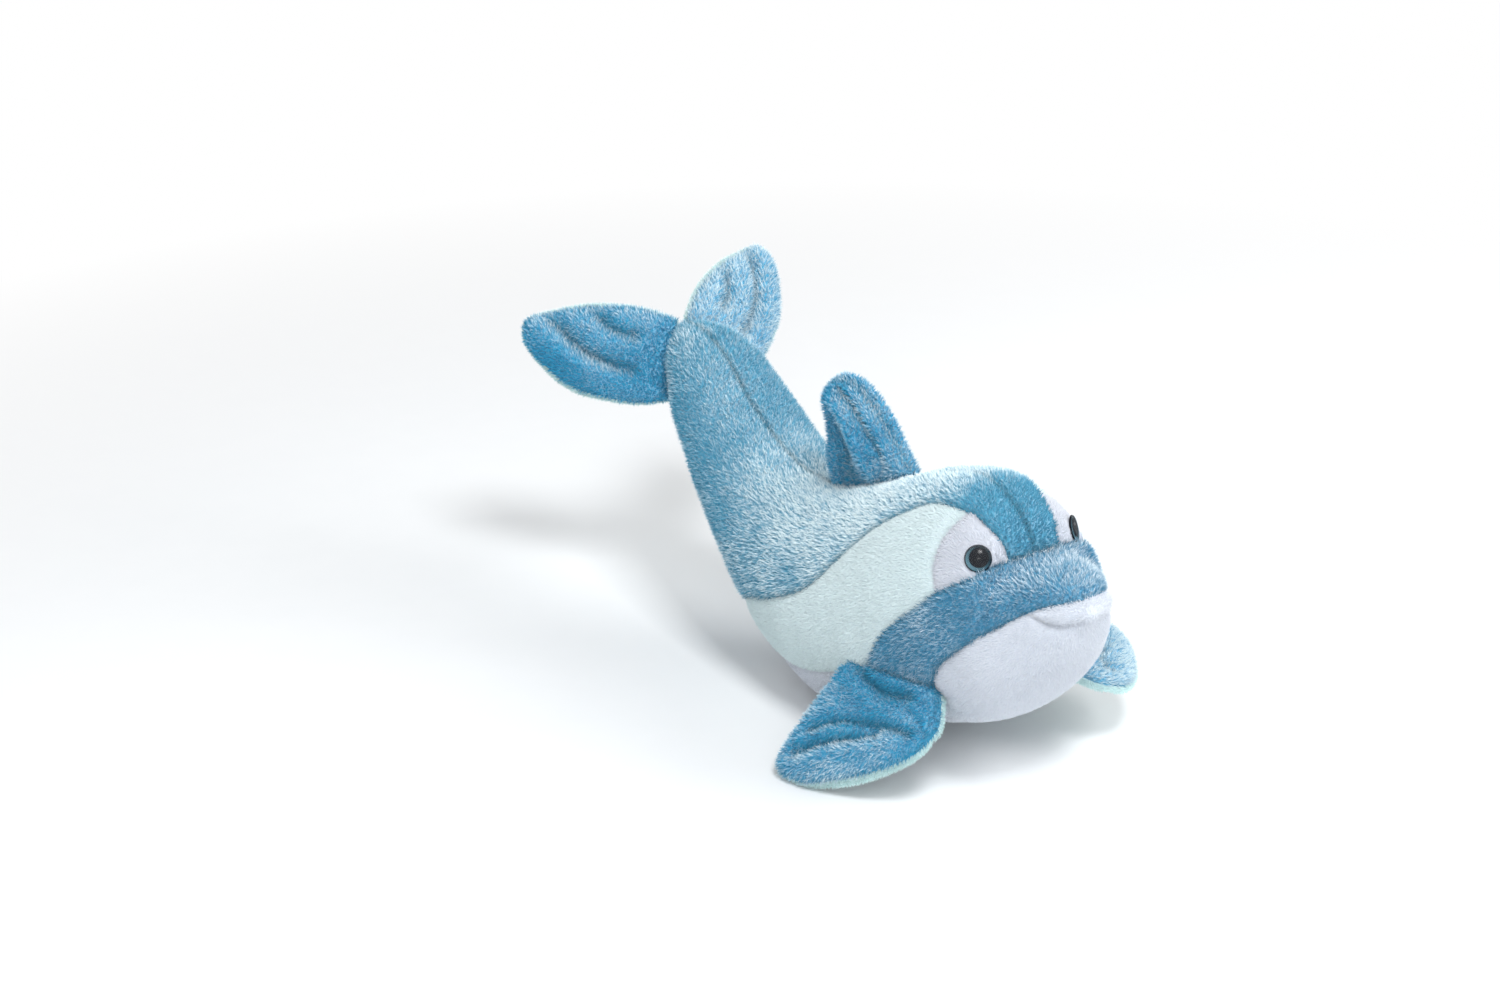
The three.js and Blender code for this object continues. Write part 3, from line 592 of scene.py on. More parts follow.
def smooth_curve(knots, shares):
    """Points on the centripetal curve through knots, at shares from 0 to 1 of its knots."""
    knots = np.array(knots, float)
    place = np.clip(shares, 0, 1) * (len(knots) - 1)
    around, share = curve_pieces(knots, 2 * knots[0] - knots[1], 2 * knots[-1] - knots[-2], place)
    before, start, end, after = around
    first, middle, final = [
        np.sqrt(np.linalg.norm(b - a, axis=1))[:, None] for a, b in zip(around, around[1:])]
    leave = ((start - before) / first - (end - before) / (first + middle) + (end - start) / middle) * middle
    arrive = ((end - start) / middle - (after - start) / (middle + final) + (after - end) / final) * middle
    return cubic(start, end, leave, arrive, share)


def even_curve(knots, count):
    """Evenly spread parameters on the uniform curve through knots, as the CAD model's seams use."""
    knots = np.array(knots, float)
    place = np.linspace(0, len(knots) - 1, count + 1)
    (before, start, end, after), share = curve_pieces(knots, knots[0], knots[-1], place)
    return cubic(start, end, (end - before) / 2, (after - start) / 2, share)


def body_lines(shares):
    """Points of the back's and the belly's line in the side view, at shares of the body's length."""
    return smooth_curve(BODY_RINGS[:, 0:2], shares), smooth_curve(BODY_RINGS[:, 2:4], shares)


def body_centre(shares):
    back, belly = body_lines(shares)
    return np.column_stack([np.zeros(len(back)), (back + belly) / 2])


def on_body(shares, angles):
    """Points of the body at shares of its length and angles round it from the back, in millimetres."""
    back, belly = body_lines(shares)
    shape = smooth_curve(BODY_RINGS[:, 4:7] * (1, SQUARENESS_WEIGHT, 1), shares)
    rise = (back - belly) / 2
    height = np.linalg.norm(rise, axis=1)
    up = rise / height[:, None]
    roll = np.radians(shape[:, 2])
    across = np.column_stack([np.cos(roll), np.sin(roll) * up[:, 0], np.sin(roll) * up[:, 1]])
    upright = np.column_stack([-np.sin(roll), np.cos(roll) * up[:, 0], np.cos(roll) * up[:, 1]])
    power = 2 * SQUARENESS_WEIGHT / shape[:, 1]
    sideways = np.sign(np.sin(angles)) * np.abs(np.sin(angles)) ** power * shape[:, 0]
    upwards = np.sign(np.cos(angles)) * np.abs(np.cos(angles)) ** power * height
    return body_centre(shares) + across * sideways[:, None] + upright * upwards[:, None]


def body_stations(step):
    """Rows from the beak's tip to the tail's end: share of the length, draw-in and push-out."""
    fine = np.linspace(0, 1, 2001)
    lines = [on_body(fine, np.full(fine.shape, angle)) for angle in (0, np.pi / 2, np.pi)]
    longest = np.max([np.linalg.norm(np.diff(line, axis=0), axis=1) for line in lines], axis=0)
    travelled = np.concatenate([[0], np.cumsum(longest)])
    rows = round(travelled[-1] / step)
    shares = np.interp(np.linspace(0, travelled[-1], rows + 1), travelled, fine)
    cap = np.radians(np.linspace(0, 90, CAP_ROWS + 1)[:-1])
    front = np.column_stack([np.zeros(CAP_ROWS), np.sin(cap), -CAP_DEPTH * np.cos(cap)])
    rear = np.column_stack([np.ones(CAP_ROWS), np.sin(cap), CAP_DEPTH * np.cos(cap)])[::-1]
    middle = np.column_stack([shares, np.ones(rows + 1), np.zeros(rows + 1)])
    return np.vstack([front, middle, rear])


def sheet_of(columns, rows, place):
    """A grid of quads laid out by place, which gives points in millimetres, the lie of the nap and the
    painted shade of seams and furrows at each point, from 0 to 1."""
    sheet = bmesh.new()
    sheet.loops.layers.uv.new(BAKE_MAP)
    nap = sheet.verts.layers.float_vector.new("nap")
    seam = sheet.verts.layers.float.new("seam")
    # A layer for the painted light and shade on the nap
    sheet.verts.layers.float.new("painted_nap_light")
    bmesh.ops.create_grid(sheet, x_segments=columns, y_segments=rows, size=0.5, calc_uvs=True)
    flat = np.array([vert.co[:2] for vert in sheet.verts]) + 0.5
    points, combed, painted_shade_mask = place(flat[:, 0], flat[:, 1])
    for vert, point, direction, depth in zip(sheet.verts, points * MM, combed, painted_shade_mask):
        vert.co = point
        vert[nap] = direction
        vert[seam] = depth
    bmesh.ops.remove_doubles(sheet, verts=sheet.verts, dist=1e-6)
    bmesh.ops.recalc_face_normals(sheet, faces=sheet.faces)
    return sheet


def body_sheet(step):
    """The whole skin of the body as one welded sheet, at the CAD model's outline."""
    stations = body_stations(step)
    columns = round(GIRTH / step)

    def place(around, along):
        row = np.round(along * (len(stations) - 1)).astype(int)
        share, drawn, pushed = stations[row].T
        angle = 2 * np.pi * around
        centre = body_centre(share)
        ahead = unit(body_centre(share + 0.002) - body_centre(share - 0.002))
        points = centre + (on_body(share, angle) - centre) * drawn[:, None] + ahead * pushed[:, None]
        combed = unit(on_body(share + 0.003, angle) - on_body(share - 0.003, angle))
        return points, combed, np.zeros(len(points))

    return sheet_of(columns, len(stations) - 1, place)


def inside(outline, places):
    """Which places lie inside an outline."""
    within = np.zeros(len(places), bool)
    across, up = places.T
    for (y1, z1), (y2, z2) in zip(outline, np.roll(outline, -1, axis=0)):
        crosses = (z1 > up) != (z2 > up)
        if z1 != z2:
            within ^= crosses & (across < (y2 - y1) * (up - z1) / (z2 - z1) + y1)
    return within


def seam_regions():
    """The outline of each kind of panel in the side view, and the front edge of the eye patch."""
    fine = {}
    for name, knots in SEAM_LINES.items():
        length = np.sum(np.linalg.norm(np.diff(np.array(knots, float), axis=0), axis=1))
        fine[name] = even_curve(knots, round(length)) if len(knots) > 2 else np.array(knots, float)
    above_beak = [(BEAK_JUNCTION[0] - 30, BEAK_JUNCTION[1] + 30)]
    ahead_of_lip = [(-REACH, SEAM_LINES["lip"][-1][1] + 2)]
    ahead_of_mouth = [(-REACH, SEAM_LINES["mouth"][-1][1] + 0.5)]
    below_tail = [(UNDER_TAIL[0] + 24, UNDER_TAIL[1] - 40)]
    back_start = [above_beak, fine["patch_low"], fine["patch_rear"][::-1]]
    band_front = fine["band_front"][::-1]
    regions = {
        "back": [*back_start, fine["back"], below_tail, [(REACH, below_tail[0][1]), (REACH, REACH)],
                 [(above_beak[0][0], REACH)]],
        "patch": [*back_start, [(PATCH_TOP[0], REACH), (above_beak[0][0], REACH)]],
        "band": [ahead_of_lip, fine["lip"][::-1], band_front, fine["fin"][::-1], fine["band_rear"][::-1],
                 fine["patch_low"][::-1], above_beak, [(-REACH, above_beak[0][1])]],
        "lip": [ahead_of_lip, fine["lip"][::-1], fine["mouth"], ahead_of_mouth],
        "flank": [fine["back"], fine["belly"][::-1], fine["band_rear"][::-1], fine["patch_rear"][::-1]],
    }
    outlines = {name: np.vstack([np.array(part, float) for part in parts]) for name, parts in regions.items()}
    return outlines, even_curve(PATCH_FRONT, 30)


REGIONS, PATCH_EDGE = seam_regions()


def panel_at(points):
    """The number of the panel that each point of the skin, in millimetres, belongs to."""
    side_view = points[:, 1:3]
    left = points[:, 0] >= 0
    panel = np.full(len(points), PANELS.index("belly_panel"))
    panel[inside(REGIONS["lip"], side_view)] = PANELS.index("lip_panel")
    panel[inside(REGIONS["band"], side_view)] = PANELS.index("snout_band")
    flank = inside(REGIONS["flank"], side_view)
    panel[flank] = PANELS.index("flank_panel_right") + left[flank]
    back = inside(REGIONS["back"], side_view)
    panel[back] = PANELS.index("back_panel_right") + left[back]
    edge = np.interp(points[:, 2], PATCH_EDGE[:, 1], PATCH_EDGE[:, 0])
    patch = inside(REGIONS["patch"], side_view)
    patch &= (np.abs(points[:, 0]) > edge) & (points[:, 1] < PATCH_TOP[0] + PATCH_DEPTH)
    open_front = inside(REGIONS["patch"], side_view) & ~patch
    panel[open_front] = PANELS.index("back_panel_right") + left[open_front]
    panel[patch] = PANELS.index("eye_patch_right") + left[patch]
    return panel


def mark_panels(sheet):
    """Moves the sheet's nearest corners onto the seams and gives every face its panel's number."""
    points = np.array([vert.co for vert in sheet.verts]) / MM
    panel = panel_at(points)
    sheet.verts.index_update()
    pairs = np.array([[vert.index for vert in edge.verts] for edge in sheet.edges])
    crossing = pairs[panel[pairs[:, 0]] != panel[pairs[:, 1]]]
    start, end = points[crossing[:, 0]], points[crossing[:, 1]]
    low, high = np.zeros(len(crossing)), np.ones(len(crossing))
    for _ in range(HALVINGS):
        middle = (low + high) / 2
        same = panel_at(start + (end - start) * middle[:, None]) == panel[crossing[:, 0]]
        low = np.where(same, middle, low)
        high = np.where(same, high, middle)
    share = (low + high) / 2
    on_seam = np.zeros(len(points), bool)
    sheet.verts.ensure_lookup_table()
    for edge in np.argsort(np.minimum(share, 1 - share)):
        if on_seam[crossing[edge]].any():
            continue
        mover = crossing[edge][0 if share[edge] < 0.5 else 1]
        sheet.verts[mover].co = (start[edge] + (end[edge] - start[edge]) * share[edge]) * MM
        on_seam[mover] = True
    for face in list(sheet.faces):
        free = {panel[vert.index] for vert in face.verts if not on_seam[vert.index]}
        held = [vert for vert in face.verts if on_seam[vert.index]]
        if len(free) > 1 and len(held) == 2:
            bmesh.utils.face_split(face, held[0], held[1])
    number = sheet.faces.layers.int.new("panel")
    middles = panel_at(np.array([face.calc_center_median() for face in sheet.faces]) / MM)
    for face, found in zip(sheet.faces, middles):
        free = [panel[vert.index] for vert in face.verts if not on_seam[vert.index]]
        face[number] = int(free[0] if free else found)
    return [vert for vert in sheet.verts if len({face[number] for face in vert.link_faces}) > 1]


def skin_tree():
    """The CAD outline of the body, for finding the skin at a place."""
    sheet = body_sheet(3.0)
    tree = BVHTree.FromBMesh(sheet)
    sheet.free()
    return tree


SKIN = skin_tree()


def skin_width(y, z):
    """How far the skin lies from the centre plane at a place in the side view, in millimetres."""
    hit = SKIN.ray_cast(Vector((0.2, y * MM, z * MM)), Vector((-1, 0, 0)))
    return hit[0].x / MM


def back_height(y):
    hit = SKIN.ray_cast(Vector((0.0001, y * MM, 0.3)), Vector((0, 0, -1)))
    return hit[0].z / MM


def eye_frame(sign):
    """Matrix that puts an eye, made at the origin and facing +Z, on one side of the head."""
    facing = Vector(EYE_FACING).normalized()
    facing.x *= sign
    seat = Vector((sign * skin_width(*EYE_PLACE), *EYE_PLACE)) - facing * EYE_SINK
    turn = facing.to_track_quat("Z", "Y").to_matrix().to_4x4()
    return Matrix.Translation(seat * MM) @ turn


def mesh_of(name, sheet):
    """A new mesh from a bmesh, which is freed."""
    mesh = bpy.data.meshes.new(name)
    sheet.to_mesh(mesh)
    sheet.free()
    return mesh


def linked(name, data, where=None):
    """A new object in the scene, moved by a matrix if one is given."""
    made = bpy.data.objects.new(name, data)
    if where is not None:
        made.matrix_world = where
    bpy.context.scene.collection.objects.link(made)
    return made


def finished(name, mesh, material):
    """A new object of a mesh or bmesh, smooth, with its material."""
    if isinstance(mesh, bmesh.types.BMesh):
        mesh = mesh_of(name, mesh)
    mesh.name = name
    mesh.materials.clear()
    mesh.materials.append(material)
    mesh.shade_smooth()
    piece = linked(name, mesh)
    return piece


def give_thickness(piece, thickness):
    wall = piece.modifiers.new("Fabric", "SOLIDIFY")
    wall.thickness = thickness
    wall.offset = -1
    wall.use_even_offset = False


def tuft_object():
    """One tuft of pile: a slim three-sided spike, one metre long, that the pile copies."""
    tuft = bpy.data.objects.get("tuft_pattern")
    if tuft:
        return tuft
    spike = bmesh.new()
    bmesh.ops.create_cone(
        spike, cap_ends=True, cap_tris=False, segments=3, radius1=0.5, radius2=0, depth=1,
        matrix=Matrix.Translation((0, 0, 0.5)))
    bmesh.ops.remove_doubles(spike, verts=spike.verts, dist=1e-5)
    spot = spike.verts.layers.float_vector.new("spot")
    tip = spike.verts.layers.float.new("tip")
    for vert in spike.verts:
        vert[spot] = (vert.co.x, vert.co.y, 0)
        vert[tip] = vert.co.z
    return bpy.data.objects.new("tuft_pattern", mesh_of("tuft_pattern", spike))


def carried(tree, name, kind):
    """A value that the sheet of cloth carries."""
    return tree.node("GeometryNodeInputNamedAttribute", {"Name": name}, data_type=kind).out("Attribute")


def stored(tree, points, name, value, kind):
    """Points that carry a value."""
    return tree.node(
        "GeometryNodeStoreNamedAttribute", {"Geometry": points, "Name": name, "Value": value},
        data_type=kind, domain="POINT").out(0)


def pile_group(tuft, density, length, width, lean, gather, seed):
    """Nodes that scatter tufts over a sheet, lean them along the nap and make them one mesh."""
    group = bpy.data.node_groups.new("pile", "GeometryNodeTree")
    for way in ("INPUT", "OUTPUT"):
        group.interface.new_socket("Geometry", in_out=way, socket_type="NodeSocketGeometry")
    tree = Tree(group)
    sheet = tree.node("NodeGroupInput").out(0)
    cover = carried(tree, "cover", "FLOAT")
    nap = carried(tree, "nap", "FLOAT_VECTOR")
    place = tree.node("GeometryNodeInputPosition").out(0)
    scattered = tree.node(
        "GeometryNodeDistributePointsOnFaces", {"Mesh": sheet, "Density": cover * density, "Seed": seed},
        distribute_method="RANDOM")
    drift = tree.vector("SUBTRACT", tree.noise(place, SWIRL_WIDTH, 1.0, key="Color"), (0.5, 0.5, 0.5))
    cell = tree.node("ShaderNodeTexVoronoi", {"Vector": place, "Scale": 1 / CLUMP})
    off_centre = cell.out("Distance")
    inwards = tree.vector("SUBTRACT", cell.out("Position"), place)
    shake = tree.node(
        "FunctionNodeRandomValue", {0: (-1, -1, -1), 1: (1, 1, 1), "Seed": seed + 1},
        data_type="FLOAT_VECTOR").out(0)
    lie = scattered.out("Normal")
    for pull, share in ((nap, lean), (drift, SWIRL), (shake, STRAY), (inwards, gather / CLUMP)):
        lie = tree.vector("ADD", lie, tree.vector("SCALE", pull, share))
    turn = tree.node("FunctionNodeAlignRotationToVector", {"Vector": lie}, axis="Z").out(0)
    chance = tree.node(
        "FunctionNodeRandomValue", {2: 0.0, 3: 1.0, "Seed": seed + 2}, data_type="FLOAT").out(1)
    rise = 1 + gather * (CLUMP_RISE / 2 - off_centre * CLUMP_RISE)
    tall = (chance * LENGTH_SPREAD + (1 - LENGTH_SPREAD / 2)) * rise * length
    # The tone varies at random and is darker towards a clump's edge, as painted shade between the clumps
    tone = chance * CHANCE_TONE + (1 - off_centre) * (1 - CHANCE_TONE)
    size = tree.node("ShaderNodeCombineXYZ", {0: width, 1: width, 2: tall}).out(0)
    points = stored(tree, scattered.out("Points"), "tone", tone, "FLOAT")
    points = stored(tree, points, "root", place, "FLOAT_VECTOR")
    pattern = tree.node("GeometryNodeObjectInfo", {"Object": tuft}).out("Geometry")
    copies = tree.node("GeometryNodeInstanceOnPoints", {
        "Points": points, "Instance": pattern, "Rotation": turn, "Scale": size}).out(0)
    whole = tree.node("GeometryNodeRealizeInstances", {"Geometry": copies}).out(0)
    tree.node("NodeGroupOutput", {0: whole})
    return group


def attribute_values(mesh, name, size):
    values = np.empty(len(mesh.vertices) * size, np.float32)
    attribute = mesh.attributes[name]
    key = "value" if size == 1 else "vector"
    attribute.data.foreach_get(key, values)
    return values.reshape(-1, size)


def grow_pile(name, cloth, material, density, length, lean, gather, seed):
    """Pile on a sheet of cloth, as its own mesh. Density is in tufts a square millimetre."""
    width = bpy.context.scene.plush_sizes.tuft_width
    group = pile_group(tuft_object(), density / MM ** 2, length, width, lean, gather, seed)
    growing = cloth.modifiers.new("Pile", "NODES")
    growing.node_group = group
    seen = cloth.evaluated_get(bpy.context.evaluated_depsgraph_get())
    mesh = bpy.data.meshes.new_from_object(seen)
    cloth.modifiers.remove(growing)
    bpy.data.node_groups.remove(group)
    corners = np.empty(len(mesh.vertices) * 3, np.float32)
    mesh.vertices.foreach_get("co", corners)
    corners = corners.reshape(-1, 3)
    corners[:, 2] = np.maximum(corners[:, 2], PILE_FLOOR_ROOM)
    mesh.vertices.foreach_set("co", corners.ravel())
    spread_out = attribute_values(mesh, BAKE_MAP, 2)
    spread_out = spread_out + attribute_values(mesh, "spot", 3)[:, :2] * TUFT_ON_MAP
    mesh.attributes.remove(mesh.attributes[BAKE_MAP])
    mesh.attributes.remove(mesh.attributes["spot"])
    owners = np.empty(len(mesh.loops), np.int32)
    mesh.loops.foreach_get("vertex_index", owners)
    baking = mesh.uv_layers.new(name=BAKE_MAP)
    baking.data.foreach_set("uv", np.clip(spread_out[owners], 0, 1).ravel())
    pile = finished(name, mesh, material)
    mesh.shade_flat()
    return pile


def tree_of(verts):
    tree = KDTree(len(verts))
    for index, vert in enumerate(verts):
        tree.insert(vert.co, index)
    tree.balance()
    return tree


def body_painted_light(place):
    """How much of its paleness the nap keeps, as painted light and shade: painted shade on forehead, chin,
    belly and tail, painted light on the back.
    """
    if place.z > FOREHEAD["z"] and place.y < FOREHEAD["y"]:
        return max(1 - (FOREHEAD["y"] - place.y) / FOREHEAD["fade"], FOREHEAD["least"])
    for low in (BELOW_HEAD, CHIN):
        if place.z <= low["z"] and place.y < low["y"]:
            return low["painted_light_by_place"]
    left_tail = LEFT_TAIL["painted_light_by_place"] if place.x > LEFT_TAIL["x"] and place.y > LEFT_TAIL["y"] else 1.0
    return float(np.interp(place.y, *BODY_PAINTED_LIGHT_ALONG)) * left_tail


def pectoral_painted_light(place):
    """Painted light and shade on a pectoral fin: its nap is palest at its low tip, with painted shade where
    it is high, at the root.
    """
    return float(np.interp(place.z, *PECTORAL_PAINTED_LIGHT_UP))


def paint_nap_light(sheet, least, most, patchiness, painted_light_by_place):
    """Painted light on the nap: palest where the sheet faces up, as painted light from above, less at its
    sides, in broad random patches, and scaled by the painted light and shade at each place.
    """
    painted_nap_light = sheet.verts.layers.float["painted_nap_light"]
    for vert in sheet.verts:
        up = min(max((vert.normal.z - TOP_LIGHT_START) / TOP_LIGHT_SPAN, 0), 1)
        patch = noise.noise(vert.co / PATCH_WIDTH) * patchiness
        pale = least + (most - least) * up * up * (3 - 2 * up) + patch
        vert[painted_nap_light] = min(max(pale * painted_light_by_place(vert.co / MM), 0), PALEST)


def seat_eyes(sheet, sink):
    """Presses the cloth in under the eyes, so that no cloth stands in front of a disc."""
    for sign in (-1, 1):
        seat = eye_frame(sign)
        back = seat.inverted()
        for vert in sheet.verts:
            local = back @ vert.co
            away = math.hypot(local.x, local.y)
            if away < EYE_SEAT_REACH and abs(local.z) < EYE_SEAT_REACH:
                limit = max(away - EYE_SEAT, 0) * EYE_SEAT_SLOPE - sink
                if local.z > limit:
                    local.z = limit
                    vert.co = seat @ local


def hill(away, size):
    """Height in metres that a height and width in millimetres give at a distance."""
    height, width = size
    return height * MM * bell(away, width * MM)


def plain(away, size):
    """The reverse: nothing at a line, and the whole height away from it."""
    return size[0] * MM - hill(away, size)


def pull_in(sheet, seam_verts, depth, width, room):
    """Sets the cloth back by the room for its pile, draws it in along the seams, and marks painted shade
    along them.
    """
    label = sheet.faces.layers.int["panel"]
    painted_shade_mask = sheet.verts.layers.float["seam"]
    lip = PANELS.index("lip_panel")
    belly = PANELS.index("belly_panel")
    mouth_verts = [vert for vert in seam_verts if {lip, belly} <= {face[label] for face in vert.link_faces}]
    seams, mouth = tree_of(seam_verts), tree_of(mouth_verts)
    tip = BODY_RINGS[0][0]
    sheet.normal_update()
    moves = []
    for vert in sheet.verts:
        away = seams.find(vert.co)[2]
        out = plain(away, SWELLING) + noise.noise(vert.co / (LUMP[1] * MM)) * LUMP[0] * MM
        if all(face[label] == lip for face in vert.link_faces):
            out += plain(away, LIP_SWELL)
        ahead = min(max((vert.co.y - tip * MM) / (SEAM_FADE * MM), 0), 1)
        inwards = depth * bell(away, width) + hill(mouth.find(vert.co)[2], CREASE)
        # Painted shade along the seams, fading towards the beak's tip
        vert[painted_shade_mask] = bell(away, SEAM_SHADE_WIDTH * MM) * ahead
        moves.append(vert.normal * float(out - inwards * ahead - room))
    for vert, move in zip(sheet.verts, moves):
        vert.co += move
        vert.co.z = max(vert.co.z, FLOOR_ROOM)
    beak = [vert for vert in sheet.verts if vert.co.y < (tip + BEAK_LENGTH) * MM]
    for _ in range(BEAK_ROUNDS):
        bmesh.ops.smooth_vert(
            sheet, verts=beak, factor=0.5, use_axis_x=True, use_axis_y=True, use_axis_z=True)
    seat_eyes(sheet, 0.2 * MM)
    sheet.normal_update()


FABRICS = {}
# Long pile in deep colours: these fabrics get darker painted shade in the seams
DEEP_FABRICS = ("back", "fin", "band")


class PLUSH_OT_fabrics(bpy.types.Operator):
    """Make the pile and cloth materials for every fabric of the toy"""
    bl_idname = "plush.fabrics"
    bl_label = "Fabrics"

    def execute(self, context):
        colours = context.scene.plush_colours
        fibre_material("stuffing_fibre", tuple(colours.stuffing))
        plans = {
            "back": (colours.back, colours.back_tip, 1.0),
            "band": (colours.band, colours.band_tip, 0.9),
            "fin": (colours.fin, colours.fin_tip, 1.0),
            "mint": ([c * 0.94 for c in colours.mint], colours.mint, 1.0),
            "under": ([c * 0.9 for c in colours.fin_under], colours.fin_under, 1.0),
            "white": ([c * 0.94 for c in colours.white], colours.white, 1.0),
            "patch": ([c * 0.94 for c in colours.patch], colours.patch, 1.0),
        }
        for name, (root, tip, frost) in plans.items():
            # Colour of the painted shade in the seams, as a share of the root colour
            painted_shade_factor = 0.45 if name in DEEP_FABRICS else 0.92
            FABRICS[name] = (
                pile_material(f"{name}_pile", tuple(root), tuple(tip), frost, painted_shade_factor),
                cloth_material(f"{name}_cloth", tuple(root), tuple(tip), painted_shade_factor))
        return {"FINISHED"}


# Painted light and shade of each fin's nap, as how pale it is: the far fins on the left are painted paler
# than the near ones
FIN_PAINTED_LIGHT = {
    "pectoral_fin_right": 0.75, "pectoral_fin_left": 1.8, "fluke_right": 0.6, "fluke_left": 1.5,
    "dorsal_fin": 0.9}
# Fabric, slot, tufts a square millimetre, the setting that gives the pile's length, and lean
PANEL_PLANS = {
    "back_panel_right": ("back", "back_plush", 2.7, "back_pile", 0.45),
    "back_panel_left": ("back", "back_plush", 2.7, "back_pile", 0.45),
    "flank_panel_right": ("mint", "mint_plush", 3.2, "short_pile", 1.0),
    "flank_panel_left": ("mint", "mint_plush", 3.2, "short_pile", 1.0),
    "eye_patch_right": ("patch", "white_plush", 3.0, "short_pile", 1.0),
    "eye_patch_left": ("patch", "white_plush", 3.0, "short_pile", 1.0),
    "snout_band": ("band", "band_plush", 3.2, "back_pile", 0.4),
    "lip_panel": ("white", "white_plush", 3.0, "short_pile", 1.2),
    "belly_panel": ("white", "white_plush", 2.4, "short_pile", 1.3),
}


def pile_cover(sheet):
    """Where pile grows: not where the toy rests on the floor, and not under the eyes."""
    cover = sheet.verts.layers.float.new("cover")
    eyes = [eye_frame(sign) for sign in (-1, 1)]
    for vert in sheet.verts:
        near_eye = any((vert.co - eye.translation).length < EYE_BARE for eye in eyes)
        vert[cover] = 0.0 if near_eye or vert.co.z < RESTING_HEIGHT else 1.0


class PLUSH_OT_body(bpy.types.Operator):
    """Make the sewn panels of the body and their pile"""
    bl_idname = "plush.body"
    bl_label = "Body panels"

    def execute(self, context):
        sizes = context.scene.plush_sizes
        sheet = body_sheet(sizes.body_step / MM)
        seam_verts = mark_panels(sheet)
        pull_in(sheet, seam_verts, sizes.furrow_depth, sizes.furrow_width, sizes.pile_room)
        # Painted light and shade on the nap
        paint_nap_light(sheet, *BODY_PAINTED_TOP_LIGHT, BODY_PATCHINESS, body_painted_light)
        pile_cover(sheet)
        for number, name in enumerate(PANELS):
            fabric, slot, density, length, lean = PANEL_PLANS[name]
            gather = LONG_GATHER if length == "back_pile" else SHORT_GATHER
            pile_look, cloth_look = FABRICS[fabric]
            part = sheet.copy()
            label = part.faces.layers.int["panel"]
            others = [face for face in part.faces if face[label] != number]
            bmesh.ops.delete(part, geom=others, context="FACES")
            cloth = finished(f"{name}_cloth", part, cloth_look)
            pile = grow_pile(
                f"{name}_pile", cloth, pile_look, density, getattr(sizes, length), lean,
                gather, seed=number * 10)
            give_thickness(cloth, sizes.fabric)
            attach(cloth, "body")
            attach(pile, "body")
            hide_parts(name)
        sheet.free()
        return {"FINISHED"}


def fin_sheet(outline, thickness, place, top, relief, shrink=1.0, least=2.2, columns=170, rows=34):
    """One side of a fin: from its seam to its middle, swelling, with sewn furrows. The pale underside
    swells out past the seam."""
    middle = outline.mean(axis=0)
    folds = [(even_curve(line, 60), depth, width) for line, depth, width in relief]

    def drawn(around, inward):
        ring = 1 - inward
        index = around * len(outline)
        first = np.floor(index).astype(int) % len(outline)
        share = (index - np.floor(index))[:, None]
        edge = outline[first] * (1 - share) + outline[(first + 1) % len(outline)] * share
        spokes = edge - middle
        bulge = np.sin(np.pi * np.clip((ring - UNDER_SWELL_START) / (1 - UNDER_SWELL_START), 0, 1))
        swell = 0 if top else UNDER_SWELL * bulge
        reach = shrink * ring + swell / np.linalg.norm(spokes, axis=1)
        flat = middle + spokes * reach[:, None]
        height = (thickness / 2) * np.maximum(1 - ring ** SECTION_POWER, 0) ** SECTION_FULLNESS
        free = np.clip(height / FULL_FURROW_HEIGHT, 0, 1)
        # Painted shade at the fin's edge seam, and below in its deep furrows
        painted_shade_mask = EDGE_SHADE * bell((1 - ring) * FIN_REACH, EDGE_SHADE_WIDTH)
        for line, depth, width in folds:
            away = np.min(np.linalg.norm(flat[:, None, :] - line[None], axis=2), axis=1)
            near = bell(away, width) * free
            height = height - depth * near
            if depth > SHADED_FURROW_DEPTH:
                shade = FURROW_SHADE * near + FURROW_LINE_SHADE * bell(away, FURROW_LINE_WIDTH)
                painted_shade_mask = np.maximum(painted_shade_mask, shade * free)
        height = np.maximum(height, least * free)
        points = place(flat[:, 0], flat[:, 1], height if top else -height)
        level = np.zeros(len(ring))
        combed = unit(place(flat[:, 0], flat[:, 1] + 1, level) - place(flat[:, 0], flat[:, 1], level))
        return points, combed, painted_shade_mask

    sheet = sheet_of(columns, rows, drawn)
    above = place(middle[0:1], middle[1:2], np.array([thickness if top else -thickness]))[0]
    here = place(middle[0:1], middle[1:2], np.array([0.0]))[0]
    outwards = Vector(above - here)
    facing = sum((face.normal * face.calc_area() for face in sheet.faces), Vector())
    if facing.dot(outwards) < 0:
        bmesh.ops.reverse_faces(sheet, faces=sheet.faces)
    cover = sheet.verts.layers.float.new("cover")
    for vert in sheet.verts:
        vert[cover] = 1.0
        vert.co.z = max(vert.co.z, FLOOR_ROOM)
    sheet.normal_update()
    return sheet


def fin_lump(outline, thickness, place, relief):
    """The stuffing of a fin: one closed lump, with the furrows of the cloth round it."""
    lump = bmesh.new()
    for top in (True, False):
        half = fin_sheet(outline, thickness, place, top, relief, shrink=0.93, least=0.4, columns=90, rows=18)
        mesh = mesh_of("half", half)
        lump.from_mesh(mesh)
        bpy.data.meshes.remove(mesh)
    bmesh.ops.remove_doubles(lump, verts=lump.verts, dist=0.02 * MM)
    bmesh.ops.recalc_face_normals(lump, faces=lump.faces)
    return lump


